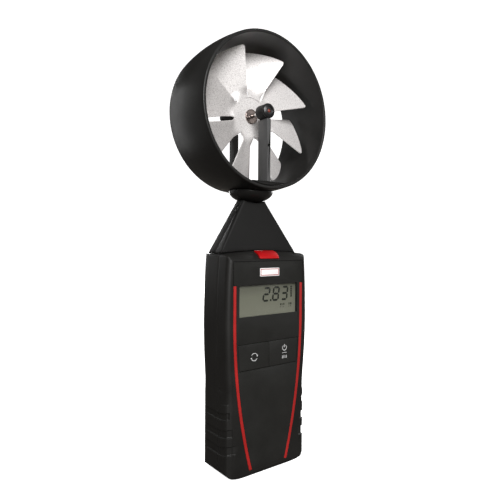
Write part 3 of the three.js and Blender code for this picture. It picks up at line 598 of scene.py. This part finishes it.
def case_body(inset, detailed):
    if detailed:
        levels = steps(-1, 12, 6) + steps(12.4, 44, 158) + steps(44.4, 62, 44) + steps(64, 151.4, 28)
    else:
        levels = [-1, 8, *steps(14, 54, 2), *steps(56, 146, 6), 151.4]
    body = loft("case", [case_ring(z, inset, detailed) for z in levels])
    combine(body, prism_y("crown", front_outline(inset), -30, 30), "INTERSECT")
    return combine(body, prism_x("sweep", side_outline(inset), -45, 45), "INTERSECT")


def strip_outline(sign, play, n=28):
    half = STRIP_WIDTH / 2 + play
    levels = steps(PANEL_BOTTOM - play, STRIP_TOP + 2 * play, n)
    outer = [(sign * (strip_centre(z) + half), z) for z in levels]
    return outer + [(sign * (strip_centre(z) - half), z) for z in reversed(levels)]


def panel_outline(play):
    wide = STRIP_SPAN + STRIP_WIDTH / 2 + play
    shoulder = STRIP_TOP + GAP
    right = [
        (strip_centre(z) - STRIP_WIDTH / 2 - GAP / 2 + play, z)
        for z in steps(shoulder, PANEL_BOTTOM - play, 28)
    ]
    left = [(-x, z) for x, z in reversed(right)]
    sides = [(-wide, shoulder - play), (-wide, PANEL_TOP + play)]
    return [*left, *sides, *[(-x, z) for x, z in reversed(sides)], *right]


def key_outline(sign, play):
    edge = [
        (sign * (strip_centre(z) - STRIP_WIDTH / 2 - KEY_MARGIN + play), z)
        for z in steps(KEYS_LOW - play, KEYS_TOP + play, 6)
    ]
    inner = sign * (GAP / 2 - play)
    return [(inner, KEYS_TOP + play), (inner, KEYS_LOW - play), *edge]


def tab_outline(play):
    p = play
    a = (CASE_FRONT - 0.1 - p, 145.4 - p)
    pts = [a, *quad_curve(a, (CASE_FRONT + 1 - p, 149.6 + p), (-10.2 + p, 150.85 + p), 12)]
    pts.append((-10.2 + p, 149.5 - p))
    end = (CASE_FRONT + 1.4 + p, 145.4 - p)
    return pts + quad_curve(pts[-1], (CASE_FRONT + 2.6, 148.2 - p), end, 8)


def build_shells():
    outer = case_body(0, True)
    inner = case_body(WALL, False)
    far = 90
    shells = {}
    for name, (y0, y1) in {
        "front_shell": (-far, PARTING - GAP / 2),
        "rear_shell": (PARTING + GAP / 2, far),
    }.items():
        shell = copy_of(outer, name)
        combine(shell, box(-far, far, y0, y1, -far, 3 * far), "INTERSECT")
        shells[name] = combine(shell, inner, keep=True)
    drop(outer)
    drop(inner)

    front = shells["front_shell"]
    combine(front, prism_y("cut", panel_outline(0.15), CASE_FRONT - 1, CASE_FRONT + 0.8))
    for sign in (1, -1):
        combine(front, prism_y("cut", strip_outline(sign, 0.15), CASE_FRONT - 1, CASE_FRONT + 1.2))
        combine(front, prism_y("cut", key_outline(sign, 0.35), CASE_FRONT - 1, CASE_FRONT + 4))
    w = WINDOW_HALF + 0.3
    combine(front, box(-w, w, CASE_FRONT - 1, CASE_FRONT + 4, WINDOW_LOW - 0.3, WINDOW_HIGH + 0.3))
    combine(front, prism_x("cut", tab_outline(0.25), -TAB_HALF - 0.25, TAB_HALF + 0.25))

    rear = shells["rear_shell"]
    for x, z in SCREW_PLACES:
        post = rod_y(3.6, PARTING + GAP / 2, CASE_BACK - 1.6, x, z)
        combine(rear, post, "UNION")
        combine(rear, rod_y(1.8, PARTING - 1, SCREW_SEAT + 1, x, z, 32))
        combine(rear, rod_y(3.0, SCREW_SEAT, CASE_BACK + 1, x, z, 48))
    d = DOOR_HALF
    combine(
        rear,
        box(-d - GAP, d + GAP, CASE_BACK - DOOR_THICK - GAP, 22, DOOR_LOW - GAP, DOOR_HIGH + GAP),
    )
    combine(rear, box(-d + 1.6, d - 1.6, CASE_BACK - 4, 22, DOOR_LOW + 1.2, DOOR_HIGH - 2))
    for x in (-17, 17):
        combine(rear, rod_z(1.8, 140, 155, x, 5.4, 24))
    combine(rear, rod_z(1.4, 140, 155, 0, 3, 24))
    for name, shell in shells.items():
        bevel(shell, 0.22, 2, 38)
        piece(shell, name + "_moulding", CASE, replaces=name, angle=30)


build_shells()


# ------------------------------------------------------------ front panel, keys, trim
def build_front():
    panel = prism_y("panel", panel_outline(0), CASE_FRONT, CASE_FRONT + 0.6)
    for sign in (1, -1):
        combine(panel, prism_y("cut", key_outline(sign, 0.3), CASE_FRONT - 1, CASE_FRONT + 1))
    w = WINDOW_HALF + 0.2
    combine(panel, box(-w, w, CASE_FRONT - 1, CASE_FRONT + 1, WINDOW_LOW - 0.2, WINDOW_HIGH + 0.2))
    b = BADGE_HALF + 0.15
    combine(
        panel,
        box(-b, b, CASE_FRONT - 1, CASE_FRONT + 0.35, BADGE_LOW - 0.15, BADGE_HIGH + 0.15),
    )
    bevel(panel, 0.12, 2, 40)
    piece(panel, "front_panel_face", PANEL, replaces="front_panel", angle=30)

    for side, sign in (("left", -1), ("right", 1)):
        strip = prism_y("strip", strip_outline(sign, 0, 60), CASE_FRONT - 0.1, CASE_FRONT + 1)
        bevel(strip, 0.28, 3, 40)
        piece(strip, "strip_" + side, RED, replaces="red_strip_" + side)

        cap = prism_y("cap", key_outline(sign, 0), CASE_FRONT, CASE_FRONT + 1.4)
        bevel(cap, 0.3, 3, 40)
        x, z = sign * 13.2, (KEYS_TOP + KEYS_LOW) / 2
        combine(cap, rod_y(2.2, CASE_FRONT + 1, -12.85, x, z, 32), "UNION")
        body = side + "_key"
        piece(cap, "keycap_" + side, KEYTOP, body, "key_" + side)

    tab = prism_x("tab", tab_outline(0), -TAB_HALF, TAB_HALF)
    bevel(tab, 0.3, 3, 40)
    piece(tab, "top_tab", TAB_RED, replaces="red_top_tab")

    badge = box(-BADGE_HALF, BADGE_HALF, CASE_FRONT - 0.1, CASE_FRONT + 0.25, BADGE_LOW, BADGE_HIGH)
    bevel(badge, 0.12, 2, 40)
    piece(badge, "badge_blank", WHITE, replaces="badge_plate")


build_front()


def flat_print(name, shapes, y, material, body, depth=0.05):
    """Closed outlines in X and Z, printed as a thin layer whose front is at y."""
    points, faces = [], []
    for outline in shapes:
        n, start = len(outline), len(points)
        points += [(x, y, z) for x, z in outline] + [(x, y + depth, z) for x, z in outline]
        faces.append(list(range(start, start + n)))
        faces.append(list(range(start + n, start + 2 * n)))
        for i in range(n):
            j = (i + 1) % n
            faces.append([start + i, start + j, start + n + j, start + n + i])
    return piece(raw(name, points, faces), name, material, body, ())


def bar(x0, z0, x1, z1, width):
    """A line with pointed ends, as one segment of a digit."""
    a, b = Vector((x0, z0)), Vector((x1, z1))
    u = (b - a).normalized()
    v = Vector((-u.y, u.x)) * width / 2
    ends = (a, a + u * width / 2 + v, b - u * width / 2 + v, b, b - u * width / 2 - v)
    return [tuple(p) for p in (*ends, a + u * width / 2 - v)]


SEGMENTS = {
    "a": ((0, 1), (1, 1)),
    "b": ((1, 1), (1, 0.5)),
    "c": ((1, 0.5), (1, 0)),
    "d": ((0, 0), (1, 0)),
    "e": ((0, 0.5), (0, 0)),
    "f": ((0, 1), (0, 0.5)),
    "g": ((0, 0.5), (1, 0.5)),
}
DIGITS = {"2": "abged", "8": "abcdefg", "3": "abcdg"}
SLANT = 0.14


def digit(value, x, z, wide, high, line):
    shapes = []
    for s in DIGITS[value]:
        (u0, v0), (u1, v1) = SEGMENTS[s]
        p0 = (x + wide * u0 + SLANT * high * v0, z + high * v0)
        p1 = (x + wide * u1 + SLANT * high * v1, z + high * v1)
        d = Vector((p1[0] - p0[0], p1[1] - p0[1])).normalized() * 0.22
        shapes.append(bar(p0[0] + d.x, p0[1] + d.y, p1[0] - d.x, p1[1] - d.y, line))
    return shapes


def rect(x0, x1, z0, z1):
    return [(x0, z0), (x1, z0), (x1, z1), (x0, z1)]


def ring_part(x, z, r, width, a0, a1, n=28):
    angles = [math.radians(a) for a in steps(a0, a1, n)]
    outer = [(x + (r + width / 2) * math.cos(a), z + (r + width / 2) * math.sin(a)) for a in angles]
    inner = [(x + (r - width / 2) * math.cos(a), z + (r - width / 2) * math.sin(a)) for a in angles]
    return outer + inner[::-1]


def build_prints():
    ink = []
    low = 116.5
    for value, x in (("2", -3.8), ("8", 4.6), ("3", 12.5)):
        ink += digit(value, x, low, 4.8, 8.7, 1.4)
    ink.append(rect(2.3, 3.6, low - 0.5, low + 0.8))
    for k in range(6):
        ink.append(rect(20.9, 22.5, 117.9 + 1.35 * k, 118.9 + 1.35 * k))
    for x, w in ((11.6, 1.1), (13.3, 0.45), (14.5, 0.9), (19.4, 0.8), (20.9, 1.1)):
        ink.append(rect(x, x + w, 112.4, 113.8))
        ink.append(rect(x, x + w * 0.5, 111.0, 111.6))
    flat_print("lcd_marks", ink, GLASS_FRONT - 0.1, INK, HOST)

    face = CASE_FRONT - 0.04
    b, low, high = BADGE_HALF, BADGE_LOW, BADGE_HIGH
    top = CASE_FRONT - 0.14
    border = [
        rect(-b + 0.5, b - 0.5, high - 0.95, high - 0.5),
        rect(-b + 0.5, b - 0.5, low + 0.5, low + 0.95),
        rect(-b + 0.5, -b + 0.95, low + 0.95, high - 0.95),
        rect(b - 0.95, b - 0.5, low + 0.95, high - 0.95),
    ]
    flat_print("badge_border", border, top, RED, HOST)

    x, z = -12.8, 79.9
    left = [ring_part(x, z, 2.5, 0.4, 25, 150), ring_part(x, z, 2.5, 0.4, 205, 330)]
    left.append([(x + 1.8, z + 1.0), (x + 3.1, z + 1.0), (x + 2.45, z)])
    left.append([(x - 1.8, z - 1.0), (x - 3.1, z - 1.0), (x - 2.45, z)])
    flat_print("mark_left", left, face, PRINT, "left_key")
    right = [ring_part(13.7, 82.9, 1.8, 0.4, 125, 415), rect(13.5, 13.9, 83.1, 85.3)]
    right.append(rect(11.6, 15.8, 79.3, 79.55))
    for k in range(4):
        right.append(rect(11.7 + 1.2 * k, 12.1 + 1.2 * k, 75.6, 77.6))
    flat_print("mark_right", right, face, PRINT, "right_key")


build_prints()

nodes["display_glass"].data.materials[0] = LCD
window = box(
    -WINDOW_HALF, WINDOW_HALF, CASE_FRONT + 0.15, CASE_FRONT + 1.6, WINDOW_LOW, WINDOW_HIGH
)
bevel(window, 0.2, 2, 40)
piece(window, "window_lens", WINDOW, replaces="display_window")


# ------------------------------------------------------------ neck and collar
def neck_ring(z, n=6):
    t = (z - NECK_FOOT) / (NECK_TOP - NECK_FOOT)
    half = lerp(35, 8.4, t)
    front, back = lerp(-7, 0.4, t), NECK_BACK
    r = lerp(0.9, 3, t)
    pts = []
    near, far = front + r, back - r
    for cx, cy, a0 in ((1, near, -90), (1, far, 0), (-1, far, 90), (-1, near, 180)):
        for a in steps(a0, a0 + 90, n):
            b = math.radians(a)
            pts.append((cx * (half - r) + r * math.cos(b), cy + r * math.sin(b), z))
    return pts


def duct_radius(y):
    return DUCT_RADIUS - (y - DUCT_WIDEST) ** 2 / (2 * DUCT_ARC)


def duct_solid(play):
    ys = steps(DUCT_FRONT + 0.7, DUCT_BACK - 0.7, 24)
    profile = [(0, ys[0])] + [(duct_radius(y) + play, y) for y in ys] + [(0, ys[-1])]
    return turned("duct_solid", profile, "y", (0, 0, AXIS), 192)


def bowl(play):
    r = COLLAR_R + play
    profile = [(0, COLLAR_Z - COLLAR_DROP - play)]
    for a in steps(-84, 0, 18):
        t = math.radians(a)
        profile.append((r * math.cos(t), COLLAR_Z + (COLLAR_DROP + play) * math.sin(t)))
    profile += [(r, COLLAR_Z + 8), (0, COLLAR_Z + 8)]
    return turned("bowl", profile, "z", (0, COLLAR_Y, 0), 96)


def split(shape, name, slot, width, material):
    """A front and a rear half, with the gap between them."""
    far = 90
    halves = (("front", -far, NECK_PARTING - GAP / 2), ("rear", NECK_PARTING + GAP / 2, far))
    for side, y0, y1 in halves:
        half = copy_of(shape, name)
        combine(half, box(-far, far, y0, y1, -far, 4 * far), "INTERSECT")
        bevel(half, width, 2, 40)
        node = f"{name}_{side}"
        piece(half, node + "_moulding", material, replaces=node, angle=30)
    drop(shape)


def build_neck():
    neck = loft("neck", [neck_ring(z) for z in steps(NECK_FOOT, NECK_TOP, 12)])
    raised = case_body(0, False)
    raised.data.transform(Matrix.Translation((0, 0, GAP * MM)))
    combine(neck, raised)
    combine(neck, bowl(GAP))
    combine(neck, box(-NECK_SKIRT, NECK_SKIRT, -60, 60, 0, 300), "INTERSECT")
    # the neck halves get the darker copy of the duct's black, painted shade
    split(neck, "neck", "duct_plastic", 0.7, NECK_PAINTED_SHADE)
    collar = bowl(0)
    combine(collar, duct_solid(GAP))
    split(collar, "collar", "duct_plastic", 0.35, DUCT)


build_neck()


# ------------------------------------------------------------ duct
def build_duct():
    ys = steps(DUCT_FRONT, DUCT_BACK, 28)
    outline = [(duct_radius(y), y) for y in ys]
    outline += [(BORE_BACK, DUCT_BACK), (BORE, DUCT_FRONT)]
    radii = [0.8] + [0] * (len(ys) - 2) + [0.8, 0.6, 0.6]
    profile = fillet(outline, radii, 5)
    ring = turned("duct", profile, "y", (0, 0, AXIS), 256, closed=True)
    piece(ring, "duct_moulding", DUCT, replaces="duct_ring", angle=40)


build_duct()


# ------------------------------------------------------------ struts, feet and bearings
def softened(node, width, material, body=HOST, segments=3, angle=40):
    """A CAD node's own shape with rounded edges and a finished surface."""
    o = bpy.data.objects.new(node, nodes[node].data.copy())
    bpy.context.scene.collection.objects.link(o)
    bm = bmesh.new()
    bm.from_mesh(o.data)
    bmesh.ops.remove_doubles(bm, verts=bm.verts, dist=1e-6)
    bmesh.ops.dissolve_limit(bm, angle_limit=math.radians(1.5), verts=bm.verts, edges=bm.edges)
    bm.to_mesh(o.data)
    bm.free()
    if width:
        bevel(o, width, segments, angle)
    return piece(o, node + "_finish", material, body, node, angle=30)


def build_struts():
    softened("strut_foot_front", 0.35, DUCT)
    softened("strut_foot_rear", 0.35, DUCT)
    softened("strut_front", 0.3, STRUT)
    softened("strut_rear", 0.3, DUCT)
    softened("sensor_housing", 0.45, BEARING)

    r, rear, front = BARREL_R, BARREL_BACK, BARREL_FRONT
    stop, bore, way = STEM_BACK + 0.2, STEM_R + 0.15, SHAFT_WAY
    housing = [(way, rear), (way, stop), (bore, stop), (bore, front), (r, front), (r, rear)]
    profile = fillet(housing, [0.1, 0, 0, 0.1, 0.2, 1.5], 8)
    shape = turned("housing", profile, "y", (0, 0, AXIS), 128, closed=True)
    piece(shape, "bearing_barrel", BEARING, replaces="bearing_housing_front")

    face, floor, rim, stem = CAP_FACE, CAP_FLOOR, front - GAP / 2, STEM_R
    cap = [(1.25, floor), (stem, floor), (stem, face), (r - 0.45, face + 0.9), (r, face + 1.5)]
    cap += [(r, rim), (stem, rim), (stem, STEM_BACK), (way, STEM_BACK), (way, -14.4), (1.25, -14.4)]
    profile = fillet(cap, [0.1, 0.2, 0.2, 0.5, 0.4, 0.2, 0, 0, 0, 0, 0], 5)
    shape = turned("cap", profile, "y", (0, 0, AXIS), 128, closed=True)
    piece(shape, "bearing_cap", CAP, replaces="bearing_screw_front")

    dome = [(0, -14.6), (1.15, -14.6), (1.15, -15.2), (0.95, -15.33), (0.5, -15.39), (0, -15.4)]
    jewel = turned("jewel", dome, "y", (0, 0, AXIS), 48)
    piece(jewel, "jewel_dome", AMBER, replaces="jewel_front")
    nodes["jewel_rear"].data.materials[0] = AMBER

    grub = [(0, -10.9), (0.8, -10.9), (0.8, -14.6), (0.7, -14.7), (0.35, -14.7), (0.35, -14)]
    shape = turned("grub", [*grub, (0, -14)], "y", (0, 0, SET_SCREW_Z), 32)
    piece(shape, "strut_grub", BLACK_SCREW, replaces="strut_set_screw")
    softened("pickup_coil", 0.2, COPPER)
    nodes["sensor_lead"].data.materials[0] = LEAD


build_struts()


# ------------------------------------------------------------ vane
def blade_row(radius, angle, chord_steps):
    out = (radius - HUB_R) / (TIP_R - HUB_R)
    turn = math.radians(BLADE_TURN)
    rise = TIP_BACK - TIP_FRONT
    tip_chord = math.hypot(turn * TIP_R, rise)
    tip_pitch = math.atan2(rise, turn * TIP_R)
    chord = lerp(10.6, tip_chord, max(0, out))
    pitch = tip_pitch * smooth((radius - 14) / 7)
    middle_y = lerp(HUB_Y, (TIP_FRONT + TIP_BACK) / 2, max(0, out))
    middle = math.radians(angle + BLADE_TURN / 2)
    row = []
    for s in chord_steps:
        along = s * chord
        theta = middle + along * math.cos(pitch) / radius
        row.append((theta, radius, middle_y + along * math.sin(pitch), pitch))
    return row


def blade(angle):
    """One blade: a thin sheet with rounded tip corners and a narrow folded root."""
    radii = [13.5, 14, 14.6, *steps(15.2, 22, 12), *steps(24, 44, 11)]
    radii += [TIP_R - d for d in (2.2, 1.8, 1.3, 0.85, 0.5, 0.22, 0.06, 0)]
    chord_steps = steps(-0.5, 0.5, 14)
    rounding, tip_chord = 2.2, 37.6
    rings = []
    for r in radii:
        near = max(0.0, r - (TIP_R - rounding)) / rounding
        cut = rounding * (1 - math.sqrt(max(0.0, 1 - near * near))) / tip_chord
        row = blade_row(r, angle, [s * (1 - 2 * cut) for s in chord_steps])
        sides = ([], [])
        for k, side in enumerate((-1, 1)):
            for i, (theta, radius, y, pitch) in enumerate(row):
                edge = min(i, len(row) - 1 - i)
                thick = BLADE_T * (0.72 if edge == 0 else 1.0)
                off = side * thick / 2
                t = theta - off * math.sin(pitch) / radius
                yy = y + off * math.cos(pitch)
                sides[k].append((radius * math.cos(t), yy, AXIS + radius * math.sin(t)))
        rings.append(sides[0] + sides[1][::-1])
    n = len(rings[0])
    points = [p for ring in rings for p in ring]
    faces = []
    for k in range(len(rings) - 1):
        for i in range(n):
            j = (i + 1) % n
            faces.append([k * n + i, k * n + j, (k + 1) * n + j, (k + 1) * n + i])
    last = (len(rings) - 1) * n
    for i in range(n // 2 - 1):
        a, b, c, d = i, i + 1, n - 2 - i, n - 1 - i
        faces.append([a, b, c, d])
        faces.append([last + a, last + b, last + c, last + d])
    return raw("blade", points, faces)


def build_vane():
    disc = [(0, HUB_Y), (15.9, HUB_Y), (16, HUB_Y + 0.1), (16, HUB_Y + 0.8), (15.9, HUB_Y + 0.9)]
    hub = turned("hub", disc + [(0, HUB_Y + 0.9)], "y", (0, 0, AXIS), 128)
    for k in range(BLADES):
        combine(hub, blade(FIRST_BLADE + 360 * k / BLADES), "UNION")
    combine(hub, rod_y(HUB_BORE, 0, 10, 0, AXIS, 32))
    for k in range(BLADES):
        a = math.radians(FIRST_BLADE + BLADE_TURN / 2 + 360 * (k + 0.5) / BLADES)
        x, z = 15.8 * math.cos(a), AXIS + 15.8 * math.sin(a)
        combine(hub, rod_y(0.9, 0, 12, x, z, 24))
    piece(hub, "vane_rotor", VANE, "vane", "impeller", angle=36)

    boss = [(HUB_BORE, 4), (5.1, 4), (5.1, HUB_Y - 0.1), (HUB_BORE, HUB_Y - 0.1)]
    profile = fillet(boss, [0.1, 0.3, 0.1, 0], 3)
    shape = turned("boss", profile, "y", (0, 0, AXIS), 96, closed=True)
    piece(shape, "boss_front", SPUN, "vane", "hub_boss_front")
    back = HUB_Y + HUB_T
    boss = [(HUB_BORE, back + 0.1), (6, back + 0.1), (6, back + 1.4), (2.6, back + 2.4)]
    profile = fillet(boss + [(2.6, 11.6), (HUB_BORE, 11.6)], [0, 0.2, 0.3, 0.3, 0.3, 0.1], 3)
    shape = turned("boss", profile, "y", (0, 0, AXIS), 96, closed=True)
    piece(shape, "boss_rear", DARK_METAL, "vane", "hub_boss_rear")
    shaft = [(0, -14.4), (0.35, -14.3), (PIVOT_R, -14), (PIVOT_R, -5.2), (SHAFT_R, -5.2)]
    shaft += [(SHAFT_R, 12), (PIVOT_R, 12.1), (PIVOT_R, 24.2), (0.3, 24.6), (0, 24.7)]
    shape = turned("shaft", shaft, "y", (0, 0, AXIS), 48)
    piece(shape, "vane_spindle", STEEL, "vane", "vane_shaft")


build_vane()


# ------------------------------------------------------------ back and inside
def build_back():
    inner = CASE_BACK - DOOR_THICK
    door = box(-DOOR_HALF, DOOR_HALF, inner, CASE_BACK, DOOR_LOW, DOOR_HIGH)
    for level in steps(DOOR_HIGH - 12, DOOR_HIGH - 6, 3):
        combine(door, box(-8, 8, CASE_BACK - 0.5, CASE_BACK + 1, level, level + 1))
    combine(door, box(-5, 5, inner - 2.2, inner + 0.5, DOOR_HIGH - 5, DOOR_HIGH - 3.6), "UNION")
    bevel(door, 0.3, 2, 40)
    piece(door, "battery_door_moulding", CASE, "door", "battery_door")

    for i, (x, z) in enumerate(SCREW_PLACES):
        top = SCREW_SEAT + 2.2
        profile = [(0, SCREW_SEAT - 2), (1, SCREW_SEAT - 2), (1, SCREW_SEAT + 0.3)]
        profile += [(2.6, SCREW_SEAT + 0.3), (2.6, top - 0.6), (2.2, top - 0.15)]
        profile += [(1.4, top), (0, top)]
        head = turned("head", profile, "y", (x, 0, z), 48)
        for wide, tall in ((1.5, 0.3), (0.3, 1.5)):
            combine(head, box(x - wide, x + wide, top - 0.8, 20, z - tall, z + tall))
        bevel(head, 0.06, 1, 40)
        node = f"case_screw_{i + 1}"
        piece(head, node + "_head", SCREW, replaces=node)

    softened("battery_tray", 0.3, TRAY)
    for k in range(4):
        softened(f"battery_{k + 1}", 0.3, CELL)
    paints = {
        "circuit_board": BOARD,
        "processor_chip": BLACK_SCREW,
        "lead_connector": WHITE,
        "display_holder": WHITE,
        "spring_contacts": SCREW,
        "plate_contacts": SCREW,
        "switch_left": STEEL,
        "switch_right": STEEL,
        "neck_screw_1": SCREW,
        "neck_screw_2": SCREW,
        "ring_screw_1": SCREW,
        "ring_screw_2": SCREW,
    }
    for node, material in paints.items():
        nodes[node].data.materials[0] = material


build_back()


# ------------------------------------------------------------ stage, light and camera
def seen_else(tree, seen, other, out):
    """Joins one shader for what the camera sees and another for what lights the object."""
    path = tree.nodes.new("ShaderNodeLightPath")
    mix = tree.nodes.new("ShaderNodeMixShader")
    tree.links.new(path.outputs["Is Camera Ray"], mix.inputs["Fac"])
    tree.links.new(other.outputs[0], mix.inputs[1])
    tree.links.new(seen.outputs[0], mix.inputs[2])
    tree.links.new(mix.outputs[0], out)


def build_stage():
    m, tree, shader = new_material("floor_pale", (0.93, 0.93, 0.93), 0.9)
    glow = tree.nodes.new("ShaderNodeEmission")
    glow.inputs["Strength"].default_value = 0.94
    pale = tree.nodes.new("ShaderNodeAddShader")
    tree.links.new(glow.outputs[0], pale.inputs[0])
    tree.links.new(shader.outputs[0], pale.inputs[1])
    dull = tree.nodes.new("ShaderNodeBsdfDiffuse")
    dull.inputs["Color"].default_value = (0.12, 0.11, 0.1, 1)
    seen_else(tree, pale, dull, tree.nodes["Material Output"].inputs["Surface"])
    size, rise, bend = 4.0, 3.0, 0.8
    profile = [(-size, 0), (1.2, 0)]
    for a in steps(0, 90, 12)[1:]:
        t = math.radians(a)
        profile.append((1.2 + bend * math.sin(t), bend - bend * math.cos(t)))
    profile.append((1.2 + bend, rise))
    turn = Matrix.Rotation(math.radians(-CAMERA_YAW), 4, "Z")
    points = []
    for y, z in profile:
        for x in (-size, size):
            p = turn @ Vector((x, y, z))
            points.append(tuple(c / MM for c in p))
    faces = [[2 * i, 2 * i + 1, 2 * i + 3, 2 * i + 2] for i in range(len(profile) - 1)]
    floor = raw("floor", points, faces)
    floor.data.materials.append(m)
    shade(floor, 60)


def area(name, at, look, size, power, color=(1, 1, 1)):
    light = bpy.data.lights.new(name, "AREA")
    light.shape = "RECTANGLE"
    light.size, light.size_y = size
    light.energy = power
    light.color = color
    o = bpy.data.objects.new(name, light)
    bpy.context.scene.collection.objects.link(o)
    o.location = at
    o.visible_camera = False
    o.rotation_euler = (Vector(look) - Vector(at)).to_track_quat("-Z", "Y").to_euler()
    return o


def build_light():
    """A white backdrop that lights the object only a little, a large soft key near the
    camera, and weaker boxes above, on the right and behind."""
    world = bpy.data.worlds.new("studio")
    bpy.context.scene.world = world
    world.use_nodes = True
    tree = world.node_tree
    seen = tree.nodes["Background"]
    seen.inputs["Color"].default_value = (1, 1, 1, 1)
    dim = tree.nodes.new("ShaderNodeBackground")
    dim.inputs["Color"].default_value = (1, 0.98, 0.95, 1)
    dim.inputs["Strength"].default_value = 0.15
    seen_else(tree, seen, dim, tree.nodes["World Output"].inputs["Surface"])
    centre = (0, 0, 0.2)
    area("key", (-0.5, -1.12, 0.68), centre, (0.65, 0.65), 25)
    area("fill", (0.75, -1.0, 0.5), centre, (0.4, 0.8), 1.2)
    area("top", (-0.1, 0.2, 1.3), centre, (0.8, 0.5), 0.7)
    area("back", (0.45, 1.25, 0.5), centre, (0.6, 0.6), 14)
    area("right", (1.25, 0.3, 0.45), centre, (0.5, 0.6), 9)
    area("rim", (-0.15, 0.3, 0.24), (-0.04, 0, 0.06), (0.1, 0.3), 0.16)


def build_camera():
    yaw, pitch, roll = (math.radians(a) for a in (CAMERA_YAW, CAMERA_PITCH, CAMERA_ROLL))
    ahead = Vector(
        (math.sin(yaw) * math.cos(pitch), math.cos(yaw) * math.cos(pitch), math.sin(pitch))
    )
    right = Vector((math.cos(yaw), -math.sin(yaw), 0))
    up = right.cross(ahead)
    c, s = math.cos(roll), math.sin(roll)
    turned_right, turned_up = c * right + s * up, c * up - s * right
    data = bpy.data.cameras.new("camera")
    data.lens, data.sensor_width = LENS, SENSOR
    data.clip_start, data.clip_end = 0.01, 20
    camera = bpy.data.objects.new("camera", data)
    bpy.context.scene.collection.objects.link(camera)
    matrix = Matrix((turned_right, turned_up, -ahead)).transposed().to_4x4()
    matrix.translation = Vector(CAMERA_AT) * MM
    camera.matrix_world = matrix
    bpy.context.scene.camera = camera


build_stage()
build_light()
build_camera()
bpy.context.scene.view_settings.view_transform = "Standard"
